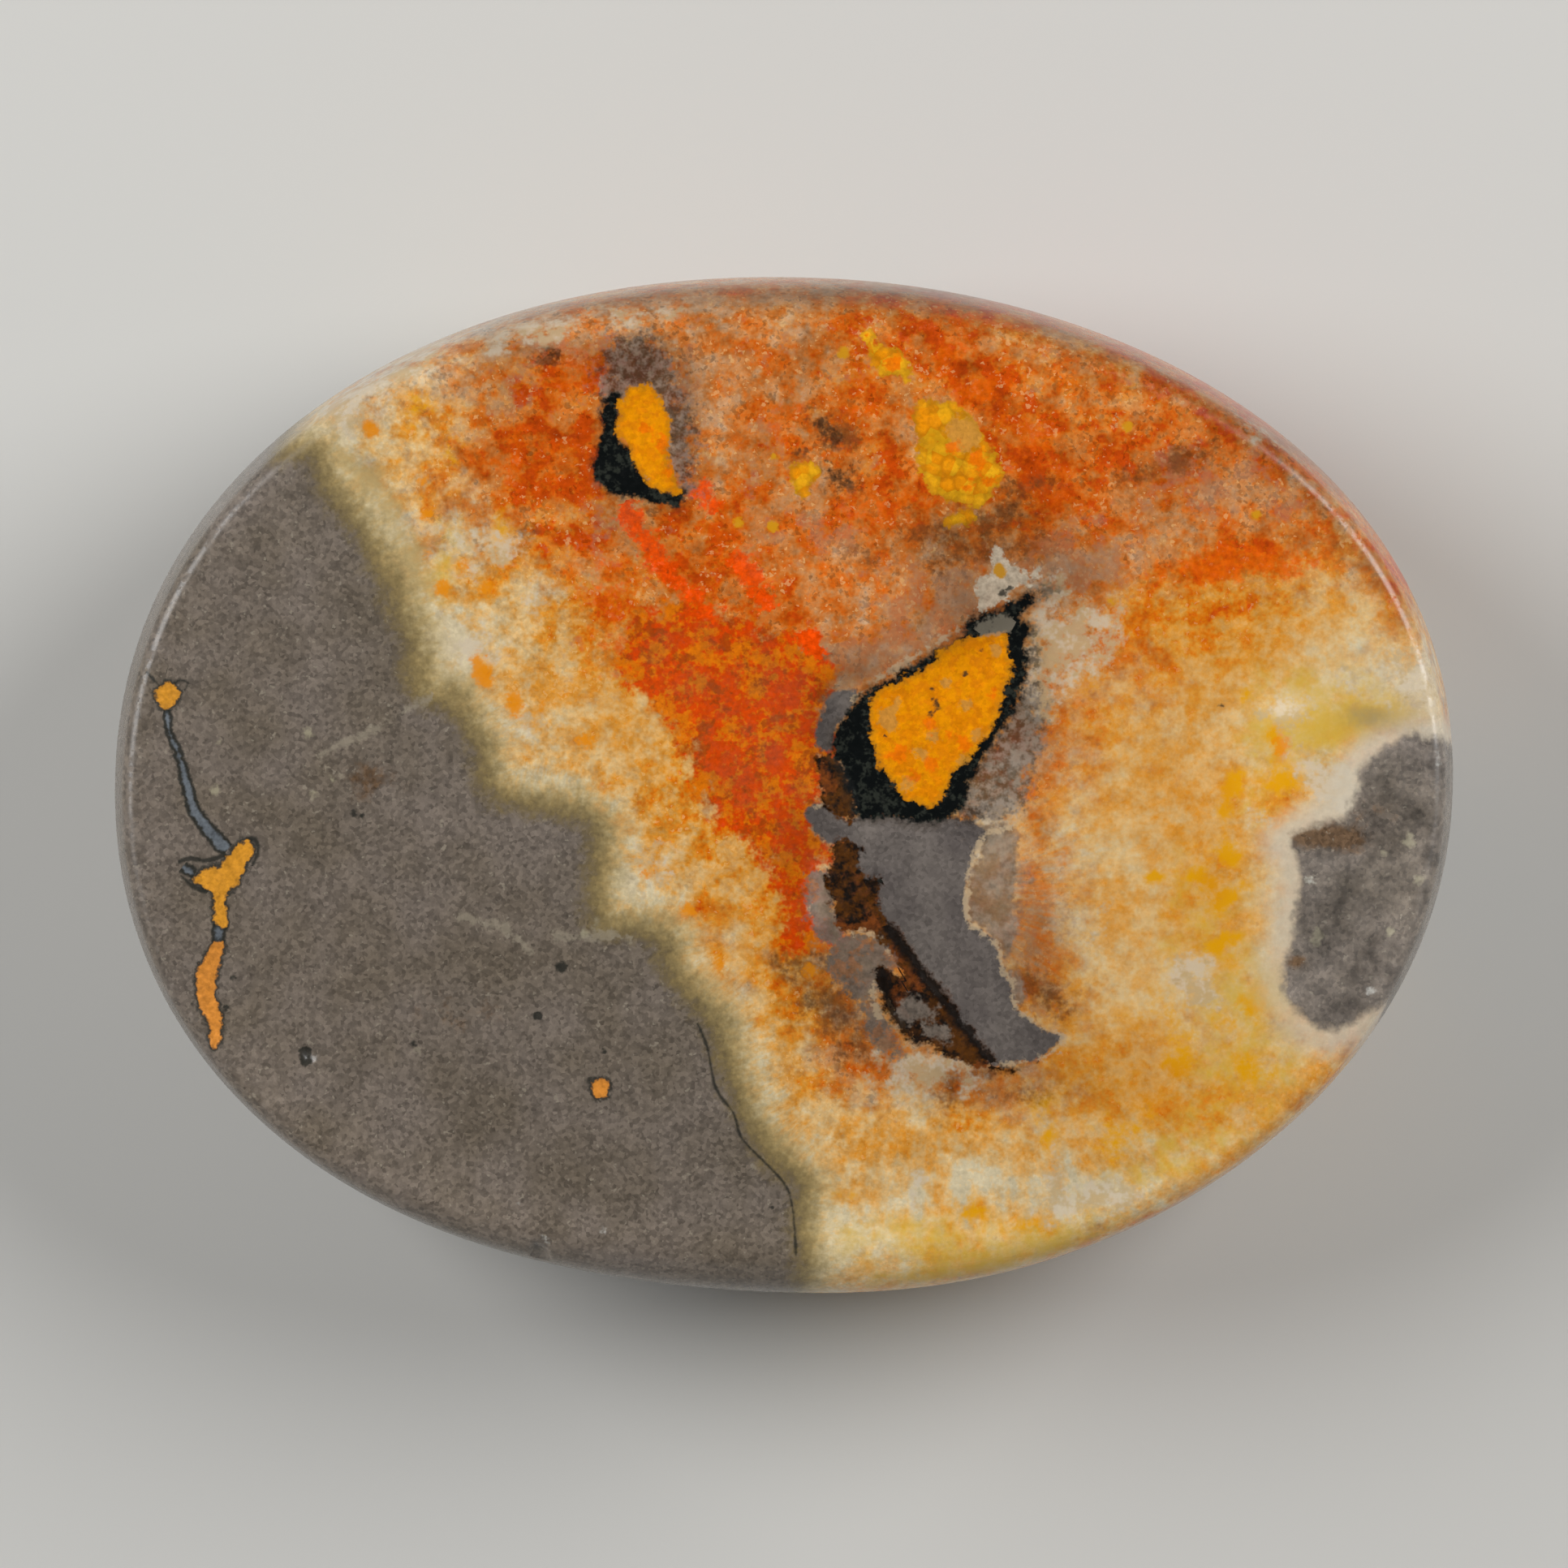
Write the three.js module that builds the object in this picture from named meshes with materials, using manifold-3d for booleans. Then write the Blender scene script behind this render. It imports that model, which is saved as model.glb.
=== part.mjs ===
// A bumblebee jasper palm stone: one ground and polished piece of natural stone.
// It lies flat, with its length on X, its width on Y and its thickness on Z.
// Sizes are in millimetres and angles in degrees, turned from +X towards +Y.
// The origin is under the middle of the stone, on the surface that it rests on.

import * as THREE from "three";
import { mergeVertices } from "three/addons/utils/BufferGeometryUtils.js";
import Module from "manifold-3d";

// The outline, seen from above, is at the girdle, the widest line round the side.
const HALF_LENGTH = 32.0;
const HALF_WIDTH = 24.3;
const OUTLINE_POWER = 2.1; // 2 is an ellipse, and more than 2 fills its corners out
const HAND_GROUND_SWELLS = [
  { lobes: 1, peak: 200, rise: 0.15 },
  { lobes: 4, peak: 24, rise: 0.12 },
  { lobes: 5, peak: 4, rise: 0.08 },
];

// The section, from the top face down the side to the base.
const THICKNESS = 18.0;
const GIRDLE_HEIGHT = 9.2;
const TOP_CROWN = 0.9; // how far the top face falls from its middle to its edge
const TOP_INSET = 1.05; // how far the edge of the top face lies inside the girdle
const TOP_INSET_LEAN = 0.45; // more at the +Y side by this much, and less at the -Y side
const TOP_EDGE_CRISP = 0.5; // how much of the edge is rounded off at both ends
const TOP_EDGE_SOFT = 2.4; // and how much along both long sides
const BASE_CROWN = 1.3; // how far the underside rises from its flat to its edge
const BASE_INSET = 2.3;
const BASE_EDGE = 3.2;
const BASE_FLAT_SHARE = 0.46; // the part of the underside's radius that is ground flat

// A chip broken out of the top edge, and a small pit in the face.
const CHIP = { angle: 242.5, inset: 0.95, drop: 0.5, depth: 0.25, size: [0.75, 0.4, 0.45], turn: 332.5 };
const PIT = { x: -22.3, y: -12.7, depth: 0.2, size: [0.3, 0.55, 0.4], turn: 15 };

// How finely the curved surface is cut into facets.
const STEPS_ROUND = 96;
const FACE_STEPS = 8;
const EDGE_STEPS = 5;
const SIDE_STEPS = 4;
const UNDERSIDE_STEPS = 5;
const HOLLOW_STEPS = [14, 8];

const CIRCLE_HANDLE = 0.5523; // the Bezier handle, per unit of radius, that makes a round corner
const MERGE_DISTANCE = 1e-4;

const wasm = await Module();
wasm.setup();

function radians(degrees) {
  return THREE.MathUtils.degToRad(degrees);
}

// The distance from the middle to the girdle in one direction.
function outlineRadius(angle) {
  const along = Math.abs(Math.cos(angle) / HALF_LENGTH) ** OUTLINE_POWER;
  const across = Math.abs(Math.sin(angle) / HALF_WIDTH) ** OUTLINE_POWER;
  let radius = (along + across) ** (-1 / OUTLINE_POWER);
  for (const swell of HAND_GROUND_SWELLS) {
    radius += swell.rise * Math.cos(swell.lobes * (angle - radians(swell.peak)));
  }
  return radius;
}

function topInset(angle) {
  return TOP_INSET + TOP_INSET_LEAN * Math.sin(angle);
}

function topEdge(angle) {
  const towardsLongSide = Math.sin(angle) ** 4;
  return THREE.MathUtils.lerp(TOP_EDGE_CRISP, TOP_EDGE_SOFT, towardsLongSide);
}

// The height of the top face at a point of the plan.
function faceHeight(x, y) {
  const angle = Math.atan2(y, x);
  const reach = Math.hypot(x, y) / (outlineRadius(angle) - topInset(angle));
  return THICKNESS - TOP_CROWN * reach ** 2;
}

// The curves below are half sections, as points (radius, height) for one direction.
// A curve gives its point and its direction for a share of the way from start to corner,
// where the corner is the place at which face and side would meet unrounded.
function topFace(corner) {
  return (reach) => ({
    point: new THREE.Vector2(reach * corner.x, THICKNESS - TOP_CROWN * reach ** 2),
    direction: new THREE.Vector2(corner.x, -2 * TOP_CROWN * reach),
  });
}

function underside(corner) {
  const curved = 1 - BASE_FLAT_SHARE;
  return (reach) => {
    const share = Math.max(0, (reach - BASE_FLAT_SHARE) / curved);
    return {
      point: new THREE.Vector2(reach * corner.x, BASE_CROWN * share ** 2),
      direction: new THREE.Vector2(corner.x, (2 * BASE_CROWN * share) / curved),
    };
  };
}

function bulgingSide(girdle, corner) {
  const inset = girdle.x - corner.x;
  const height = corner.y - girdle.y;
  return (share) => ({
    point: new THREE.Vector2(girdle.x - inset * share ** 2, girdle.y + height * share),
    direction: new THREE.Vector2(-2 * inset * share, height),
  });
}

// Where two lines cross, each given by a point and a direction.
function crossing(first, second) {
  const between = second.point.clone().sub(first.point);
  const along = between.cross(second.direction) / first.direction.cross(second.direction);
  return first.point.clone().addScaledVector(first.direction, along);
}

// The rounded edge, which leaves the face and meets the side without a crease.
function roundedEdge(faceEnd, sideEnd) {
  const meeting = crossing(faceEnd, sideEnd);
  const faceHandle = faceEnd.point.clone().lerp(meeting, CIRCLE_HANDLE);
  const sideHandle = sideEnd.point.clone().lerp(meeting, CIRCLE_HANDLE);
  const edge = new THREE.CubicBezierCurve(faceEnd.point, faceHandle, sideHandle, sideEnd.point);
  return edge.getPoints(EDGE_STEPS);
}

// A face from its start to its end, the rounded edge, and the side down or up to the girdle.
function halfSection(face, start, steps, girdle, corner, edge) {
  const side = bulgingSide(girdle, corner);
  const faceEnd = 1 - edge / corner.x;
  const sideEnd = 1 - edge / Math.abs(corner.y - girdle.y);
  const points = [];
  for (let step = 0; step < steps; step += 1) {
    const reach = THREE.MathUtils.lerp(start, faceEnd, Math.sqrt(step / steps));
    points.push(face(reach).point);
  }
  points.push(...roundedEdge(face(faceEnd), side(sideEnd)));
  for (let step = SIDE_STEPS - 1; step >= 0; step -= 1) {
    points.push(side((sideEnd * step) / SIDE_STEPS).point);
  }
  return points;
}

// From the middle of the top face to the girdle.
function upperSection(angle) {
  const girdle = new THREE.Vector2(outlineRadius(angle), GIRDLE_HEIGHT);
  const corner = new THREE.Vector2(girdle.x - topInset(angle), THICKNESS - TOP_CROWN);
  return halfSection(topFace(corner), 0, FACE_STEPS, girdle, corner, topEdge(angle));
}

// From the rim of the flat under the stone to the girdle.
function lowerSection(angle) {
  const girdle = new THREE.Vector2(outlineRadius(angle), GIRDLE_HEIGHT);
  const corner = new THREE.Vector2(girdle.x - BASE_INSET, BASE_CROWN);
  const face = underside(corner);
  return halfSection(face, BASE_FLAT_SHARE, UNDERSIDE_STEPS, girdle, corner, BASE_EDGE);
}

// One closed surface: a point at the top, rings of points round the stone, and a point below.
function pebbleGeometry() {
  const positions = [];
  const faces = [];
  let ringCount = 0;
  for (let turn = 0; turn < STEPS_ROUND; turn += 1) {
    const angle = (2 * Math.PI * turn) / STEPS_ROUND;
    const upper = upperSection(angle).slice(1);
    const lower = lowerSection(angle).slice(0, -1).reverse();
    ringCount = upper.length + lower.length;
    for (const point of [...upper, ...lower]) {
      positions.push(point.x * Math.cos(angle), point.x * Math.sin(angle), point.y);
    }
  }
  const top = positions.length / 3;
  const foot = top + 1;
  positions.push(0, 0, THICKNESS, 0, 0, 0);

  for (let turn = 0; turn < STEPS_ROUND; turn += 1) {
    const here = turn * ringCount;
    const next = ((turn + 1) % STEPS_ROUND) * ringCount;
    faces.push(top, here, next);
    for (let ring = 0; ring < ringCount - 1; ring += 1) {
      faces.push(here + ring, here + ring + 1, next + ring + 1);
      faces.push(here + ring, next + ring + 1, next + ring);
    }
    faces.push(foot, next + ringCount - 1, here + ringCount - 1);
  }
  const geometry = new THREE.BufferGeometry();
  geometry.setAttribute("position", new THREE.Float32BufferAttribute(positions, 3));
  geometry.setIndex(faces);
  return geometry;
}

// An oval hollow's shape, to be cut out where its middle lies.
function hollowGeometry(size, turn, x, y, z) {
  const hollow = new THREE.SphereGeometry(1, ...HOLLOW_STEPS);
  hollow.scale(...size);
  hollow.rotateZ(radians(turn));
  hollow.translate(x, y, z);
  return hollow;
}

function pitGeometry() {
  const middleHeight = faceHeight(PIT.x, PIT.y) + PIT.size[2] - PIT.depth;
  return hollowGeometry(PIT.size, PIT.turn, PIT.x, PIT.y, middleHeight);
}

function chipGeometry() {
  const angle = radians(CHIP.angle);
  const radius = outlineRadius(angle) - CHIP.inset + CHIP.size[1] - CHIP.depth;
  const height = THICKNESS - TOP_CROWN - CHIP.drop;
  const x = radius * Math.cos(angle);
  const y = radius * Math.sin(angle);
  return hollowGeometry(CHIP.size, CHIP.turn, x, y, height);
}

function solidOf(geometry) {
  geometry.deleteAttribute("normal");
  geometry.deleteAttribute("uv");
  const merged = mergeVertices(geometry, MERGE_DISTANCE);
  const vertProperties = merged.getAttribute("position").array;
  const triVerts = new Uint32Array(merged.index.array);
  return new wasm.Manifold(new wasm.Mesh({ numProp: 3, vertProperties, triVerts }));
}

function geometryOf(solid) {
  const { vertProperties, triVerts } = solid.getMesh();
  const geometry = new THREE.BufferGeometry();
  geometry.setAttribute("position", new THREE.BufferAttribute(vertProperties, 3));
  geometry.setIndex(new THREE.BufferAttribute(triVerts, 1));
  geometry.computeVertexNormals();
  return geometry;
}

// Moves the stone so that its box stands centred on the origin.
function centredOnFoot(geometry) {
  geometry.computeBoundingBox();
  const { min, max } = geometry.boundingBox;
  geometry.translate(-(min.x + max.x) / 2, -(min.y + max.y) / 2, -min.z);
  return geometry;
}

function jasperMaterial() {
  return new THREE.MeshStandardMaterial({ color: 0xbe7a42, roughness: 0.35, metalness: 0 });
}

function palmStone() {
  const pebble = solidOf(pebbleGeometry());
  const stone = pebble.subtract(solidOf(pitGeometry())).subtract(solidOf(chipGeometry()));
  const mesh = new THREE.Mesh(centredOnFoot(geometryOf(stone)), jasperMaterial());
  mesh.name = "palm_stone";
  return mesh;
}

const object = new THREE.Group();
object.add(palmStone());

export default object;
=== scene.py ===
"""A bumblebee jasper palm stone: its fine surface, its markings and the light that it lies in.

Shapes are in metres. The markings are in millimetres on the level of the stone's face. Their
outlines are drawn as pixels of the photograph, which looks straight down on the stone.
"""

import math

import bpy
import numpy as np
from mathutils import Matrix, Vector


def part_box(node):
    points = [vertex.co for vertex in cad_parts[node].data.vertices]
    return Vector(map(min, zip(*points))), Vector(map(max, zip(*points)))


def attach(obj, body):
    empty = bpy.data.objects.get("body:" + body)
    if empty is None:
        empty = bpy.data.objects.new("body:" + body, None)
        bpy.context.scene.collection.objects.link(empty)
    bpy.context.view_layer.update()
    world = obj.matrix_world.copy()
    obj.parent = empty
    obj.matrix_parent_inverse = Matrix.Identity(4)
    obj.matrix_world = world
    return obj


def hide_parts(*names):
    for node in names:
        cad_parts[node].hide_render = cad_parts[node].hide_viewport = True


MM = 0.001
NODE = "palm_stone"

# The outline, seen from above, and the section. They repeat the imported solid's own values.
HALF_LENGTH = 32.0 * MM
HALF_WIDTH = 24.3 * MM
OUTLINE_POWER = 2.1
HAND_GROUND_SWELLS = [(1, 200, 0.15 * MM), (4, 24, 0.12 * MM), (5, 4, 0.08 * MM)]
THICKNESS = 18.0 * MM
GIRDLE_HEIGHT = 9.2 * MM
TOP_CROWN = 0.9 * MM
TOP_INSET = 1.05 * MM
TOP_INSET_LEAN = 0.45 * MM
TOP_EDGE_CRISP = 0.5 * MM
TOP_EDGE_SOFT = 2.4 * MM
BASE_CROWN = 1.3 * MM
BASE_INSET = 2.3 * MM
BASE_EDGE = 3.2 * MM
BASE_FLAT_SHARE = 0.46
CIRCLE_HANDLE = 0.5523

# A small pit in the face and a chip in its edge, as oval hollows. The chip is placed by its angle.
PIT = {"at": (-22.3 * MM, -12.7 * MM), "depth": 0.2 * MM, "size": (0.3, 0.55, 0.4), "turn": 15}
CHIP = {"angle": 242.5, "inset": 0.95 * MM, "drop": 0.5 * MM, "depth": 0.25 * MM,
        "size": (0.75, 0.4, 0.45), "turn": 332.5}

# How finely the surface is cut. Ring number k of a face has 6k points.
RING_POINTS = 6
TOP_RINGS = 148
BASE_RINGS = TOP_RINGS // 2
EDGE_STEPS = 6
UPPER_SIDE_STEPS = 5
LOWER_SIDE_STEPS = 4

# The map of the surface: the upper half above, the lower half smaller below it.
MAP_MARGIN = 0.006
MAP_SIDE_SPREAD = 0.35
MAP_BASE_SHARE = 0.4

# The photograph's frame and the stone's place in it, in pixels.
PHOTO_SIDE = 1932
PHOTO_MIDDLE = PHOTO_SIDE / 2
STONE_LEFT = 141
STONE_RIGHT = 1790
LENS = 150.0
SENSOR = 36.0
SILHOUETTE_RISE = 1.5 * MM  # from so near, the outline that shows lies this far over the girdle
OUTLINE_PER_PIXEL = 2 * HALF_LENGTH / (STONE_RIGHT - STONE_LEFT)
CAMERA_HEIGHT = GIRDLE_HEIGHT + SILHOUETTE_RISE + PHOTO_SIDE * OUTLINE_PER_PIXEL * LENS / SENSOR
FACE_MM_PER_PIXEL = (CAMERA_HEIGHT - THICKNESS) * SENSOR / LENS / PHOTO_SIDE / MM

# Markings are measured in millimetres. A place further than FAR from a mark counts as FAR from it.
FAR = 3.0
LINE_END = 0.001  # a place this near a line's end, measured along it, lies beyond the line
LINE_REACH = 1.2  # and no line shows further than this from its middle
LINE_CAP = 0.4  # the share of its width that a line still has at its very end
CURVE_STEPS = 4  # the points of a smooth curve for each drawn one
MARKS_TOGETHER = 3  # the parts of a vector, each of which holds one marking
INCLUSION_NARROWING = 1.4  # how fast an inclusion narrows under the face, per unit of depth
FLAME_NARROWING = 0.4  # and the same for the flame
BASE_INCLUSION_TURN = 163  # the underside's own inclusions lie like the face's, turned by this

# On their way down through the stone the markings wander along X by where they lie in Y, and along
# Y by where they lie in X: so many millimetres for each of depth, in slow waves.
WANDER_ALONG_X = {"reach": 0.30, "wave": 5.0, "start": 0.6, "lean": -0.10}
WANDER_ALONG_Y = {"reach": 0.26, "wave": 6.5, "start": 2.0, "lean": 0.0}

# The grey rock on the left ends along this seam, from its top end to its bottom end.
GREY_SEAM = [
    (330, 548), (386, 552), (398, 570), (430, 621), (457, 657), (480, 702), (502, 755), (518, 800),
    (517, 845), (552, 854), (575, 873), (590, 900), (601, 926), (609, 961), (623, 976), (657, 984),
    (688, 988), (715, 995), (734, 1007), (743, 1030), (743, 1068), (744, 1098), (744, 1132),
    (782, 1137), (808, 1144), (826, 1152), (830, 1179), (845, 1209), (870, 1233), (892, 1260),
    (900, 1298), (912, 1335), (926, 1368), (949, 1410), (976, 1437), (994, 1459), (994, 1504),
    (998, 1539), (1003, 1600),
]
GREY_SEAM_OUTSIDE = [(1010, 1720), (40, 1720), (40, 560), (250, 540)]
GREY_RIGHT = [
    (1850, 905), (1784, 910), (1741, 905), (1707, 924), (1681, 948), (1674, 972), (1660, 1000),
    (1640, 1012), (1607, 1024), (1588, 1039), (1597, 1058), (1601, 1082), (1594, 1115), (1596, 1149),
    (1587, 1177), (1584, 1211), (1591, 1235), (1610, 1256), (1640, 1268), (1666, 1262), (1690, 1244),
    (1722, 1226), (1800, 1200), (1870, 1050),
]

# The dense grey core in the middle. It goes on under the dark streak.
CORE_RIGHT_EDGE = [
    (1217, 1027), (1203, 1048), (1193, 1077), (1191, 1110), (1193, 1134), (1210, 1149), (1229, 1168),
    (1236, 1196), (1248, 1211), (1248, 1235), (1267, 1254), (1286, 1268), (1308, 1275), (1301, 1292),
    (1282, 1304), (1248, 1311), (1229, 1314),
]
CORE = [
    [(1060, 1005), (1129, 1005), (1191, 1010)] + CORE_RIGHT_EDGE
    + [(1190, 1296), (1172, 1262), (1132, 1218), (1104, 1182), (1080, 1150), (1065, 1110), (1048, 1060),
       (1040, 1025)],
    [(1025, 857), (1055, 850), (1045, 880), (1030, 900), (1025, 926), (1008, 919), (1006, 892)],
    [(992, 1003), (1008, 991), (1030, 996), (1045, 1015), (1050, 1030), (1025, 1040), (1003, 1026)],
]

# The small grey patches on the left of the streak, and the grey pockets in it.
SMALL_GREYS = [
    [(998, 1075), (1026, 1079), (1035, 1114), (1037, 1154), (1010, 1156), (998, 1133)],
    [(1040, 1150), (1075, 1150), (1100, 1162), (1112, 1194), (1088, 1202), (1082, 1225), (1090, 1255),
     (1112, 1296), (1084, 1300), (1067, 1262), (1048, 1225), (1025, 1206), (1023, 1179)],
]
POCKETS = [
    [(1105, 1240), (1122, 1228), (1148, 1240), (1152, 1258), (1130, 1262), (1110, 1258)],
    [(1140, 1264), (1158, 1260), (1168, 1274), (1156, 1284), (1142, 1278)],
]

# The cloudy clear band. It comes back up along the core's right edge, from the eighth of that
# edge's points to the second.
CLEAR_BAND = [
    (1210, 1020), (1250, 1018), (1264, 1060), (1254, 1100), (1252, 1150), (1246, 1195), (1256, 1230),
    (1248, 1215),
] + CORE_RIGHT_EDGE[7:0:-1]

# The dark, crumbly streak on the left of the core, and its small upper part.
STREAK = [
    [(1040, 1030), (1059, 1045), (1062, 1075), (1084, 1083), (1082, 1106), (1094, 1137), (1117, 1164),
     (1140, 1202), (1166, 1232), (1200, 1271), (1220, 1305), (1205, 1318), (1180, 1305), (1155, 1294),
     (1128, 1286), (1113, 1267), (1095, 1244), (1082, 1213), (1084, 1192), (1109, 1200), (1098, 1175),
     (1075, 1150), (1044, 1148), (1029, 1137), (1021, 1106), (1021, 1075), (1027, 1045)],
    [(1008, 936), (1032, 934), (1048, 958), (1060, 988), (1050, 1012), (1032, 1006), (1014, 985)],
]

# The bright yellow inclusions, the beaded ones of an older gold, the black halos of the bright
# ones and the white pocket over the biggest.
YELLOW = [
    [(1071, 866), (1083, 851), (1106, 840), (1140, 824), (1159, 801), (1190, 786), (1213, 782),
     (1240, 780), (1243, 805), (1247, 836), (1236, 866), (1220, 900), (1197, 930), (1178, 949),
     (1170, 968), (1155, 991), (1132, 993), (1113, 984), (1101, 961), (1084, 949), (1080, 930),
     (1071, 907)],
    [(769, 487), (776, 476), (803, 474), (807, 487), (819, 495), (824, 518), (826, 545), (824, 568),
     (836, 591), (836, 608), (822, 606), (803, 598), (790, 583), (780, 564), (775, 549), (761, 541),
     (759, 526), (763, 510), (759, 499)],
]
OLD_GOLD = [
    [(1125, 497), (1152, 493), (1178, 499), (1201, 518), (1217, 545), (1232, 568), (1234, 587),
     (1224, 606), (1209, 625), (1175, 621), (1152, 610), (1140, 591), (1132, 568), (1130, 545),
     (1127, 514)],
    [(1163, 640), (1172, 631), (1190, 627), (1202, 634), (1196, 646), (1172, 650)],
    [(1056, 400), (1066, 395), (1078, 408), (1078, 424), (1066, 427), (1058, 416)],
    [(1071, 432), (1098, 428), (1113, 438), (1125, 457), (1121, 476), (1109, 465), (1090, 461),
     (1077, 451)],
    [(973, 575), (990, 567), (1006, 574), (1011, 588), (1000, 598), (996, 612), (984, 608), (976, 592)],
]
HALO = [
    [(1067, 850), (1048, 873), (1029, 900), (1025, 926), (1040, 953), (1046, 980), (1059, 1007),
     (1098, 1009), (1147, 1014), (1176, 1005), (1191, 983), (1194, 960), (1211, 935), (1232, 903),
     (1252, 872), (1262, 842), (1264, 804), (1266, 778), (1258, 757), (1273, 744), (1266, 731),
     (1250, 740), (1224, 750), (1198, 763), (1182, 786), (1152, 803), (1113, 827), (1083, 843)],
    [(750, 492), (764, 484), (766, 500), (762, 520), (766, 545), (782, 556), (786, 575), (800, 594),
     (826, 606), (841, 604), (838, 625), (807, 621), (780, 612), (754, 610), (736, 595), (731, 572),
     (738, 553), (742, 530), (741, 499)],
]
WHITE = [
    [(1203, 713), (1222, 704), (1224, 676), (1232, 671), (1240, 690), (1256, 698), (1270, 706),
     (1282, 700), (1270, 716), (1250, 724), (1236, 742), (1212, 752), (1205, 735)],
]

# Dusky zones beside the black: round the upper left inclusion and on the right of the big one.
DUSK = [
    [(745, 500), (740, 450), (745, 426), (766, 414), (792, 410), (815, 424), (828, 446), (844, 490),
     (853, 540), (853, 590), (842, 604), (825, 585), (812, 540), (798, 505), (775, 495)],
    [(1258, 846), (1278, 860), (1282, 900), (1270, 950), (1254, 996), (1226, 1012), (1180, 1010),
     (1186, 970), (1208, 930), (1232, 892)],
]

# The flame of orange and red down the middle, and the brightest red streaks in and above it.
FLAME = [
    (772, 831), (799, 857), (822, 884), (845, 911), (850, 953), (862, 984), (884, 1014), (918, 1037),
    (933, 1068), (956, 1091), (967, 1125), (966, 1167), (1036, 1160), (1036, 1150), (1012, 1129),
    (1010, 1091), (1034, 1060), (1030, 1037), (1010, 1014), (1012, 984), (1030, 950), (1020, 915),
    (1022, 877), (1030, 842), (1012, 812), (985, 785), (950, 770), (910, 758), (870, 745),
    (820, 742), (780, 765), (762, 800),
]
RED_STREAKS = [
    {"line": [(766, 618), (784, 650), (806, 680), (830, 710), (856, 738), (886, 764)], "half": 14.0,
     "end_half": 7.0},
    {"line": [(866, 585), (870, 608), (881, 634)], "half": 10.0},
    {"line": [(898, 680), (918, 702), (933, 725), (950, 754)], "half": 10.0},
]

# Veins in the left grey rock, with yellow and orange fillings, and a small orange fleck.
VEIN_YELLOW = [
    [(193, 848), (205, 840), (219, 846), (217, 862), (206, 871), (194, 866)],
    [(287, 1045), (298, 1038), (310, 1039), (312, 1054), (303, 1068), (291, 1091), (279, 1106),
     (278, 1137), (268, 1139), (264, 1118), (262, 1098), (245, 1089), (236, 1081), (253, 1072),
     (272, 1066)],
]
VEIN_ORANGE = [
    [(265, 1160), (276, 1164), (272, 1179), (265, 1202), (266, 1229), (273, 1252), (272, 1278),
     (265, 1290), (259, 1282), (257, 1259), (247, 1240), (242, 1217), (243, 1194), (253, 1179)],
    [(728, 1332), (739, 1329), (750, 1336), (748, 1350), (736, 1354), (728, 1346)],
]

# Lines: the slate ones join the fillings, the dark ones are cracks and thin outlines, the pale
# ones are faint veins and the cream ones run along the core and the small grey patches.
SLATE_LINES = [
    {"line": [(205, 874), (209, 903), (219, 926), (226, 949), (232, 972), (238, 995), (253, 1018),
              (272, 1038), (284, 1048)], "half": 0.5, "end_half": 8.0},
    {"line": [(240, 1078), (222, 1066)], "half": 6.0, "end_half": 3.0},
    {"line": [(271, 1134), (268, 1166)], "half": 5.0},
]
DARK_LINES = [
    {"line": [(199, 848), (190, 838), (178, 826)], "half": 2.5, "end_half": 1.5},
    {"line": [(212, 844), (222, 838), (232, 842), (226, 852)], "half": 3.0, "end_half": 1.5},
    {"line": [(300, 1036), (314, 1034), (318, 1050), (310, 1068)], "half": 3.5, "end_half": 2.0},
    {"line": [(280, 1052), (258, 1060), (232, 1058), (216, 1064)], "half": 3.5, "end_half": 2.0},
    {"line": [(222, 1078), (238, 1092), (258, 1100)], "half": 2.5, "end_half": 3.5},
    {"line": [(858, 1258), (871, 1289), (877, 1320), (884, 1345), (904, 1372), (913, 1401), (940, 1430),
              (967, 1459), (976, 1486), (980, 1530), (980, 1562), (967, 1584)], "half": 1.6},
    {"line": [(1079, 1086), (1090, 1083)], "half": 2.5},
    {"line": [(1087, 905), (1094, 908)], "half": 2.0},
]
PALE_LINES = [
    {"line": [(387, 932), (418, 919), (467, 896), (506, 873), (536, 857)], "half": 2.5},
    {"line": [(560, 1128), (600, 1137), (623, 1144), (642, 1160), (660, 1176)], "half": 4.0},
    {"line": [(677, 1152), (707, 1156), (745, 1152), (784, 1156)], "half": 4.5},
    {"line": [(511, 1270), (519, 1302)], "half": 4.0},
    {"line": [(410, 966), (420, 950)], "half": 3.0},
    {"line": [(1202, 781), (1224, 770), (1252, 770)], "half": 9.0},
]
CREAM_LINES = [
    {"line": [(1250, 1020)] + CORE_RIGHT_EDGE, "half": 2.4},
    {"line": [(1042, 1003), (1022, 991), (1000, 996)], "half": 2.0},
    {"line": [(1046, 866), (1075, 843), (1110, 820), (1150, 795), (1180, 774), (1196, 755)], "half": 2.2},
    {"line": [(1046, 1150), (1068, 1146), (1088, 1158), (1096, 1180)], "half": 2.6},
    {"line": [(1082, 1196), (1076, 1222), (1084, 1258)], "half": 2.0},
]

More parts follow.
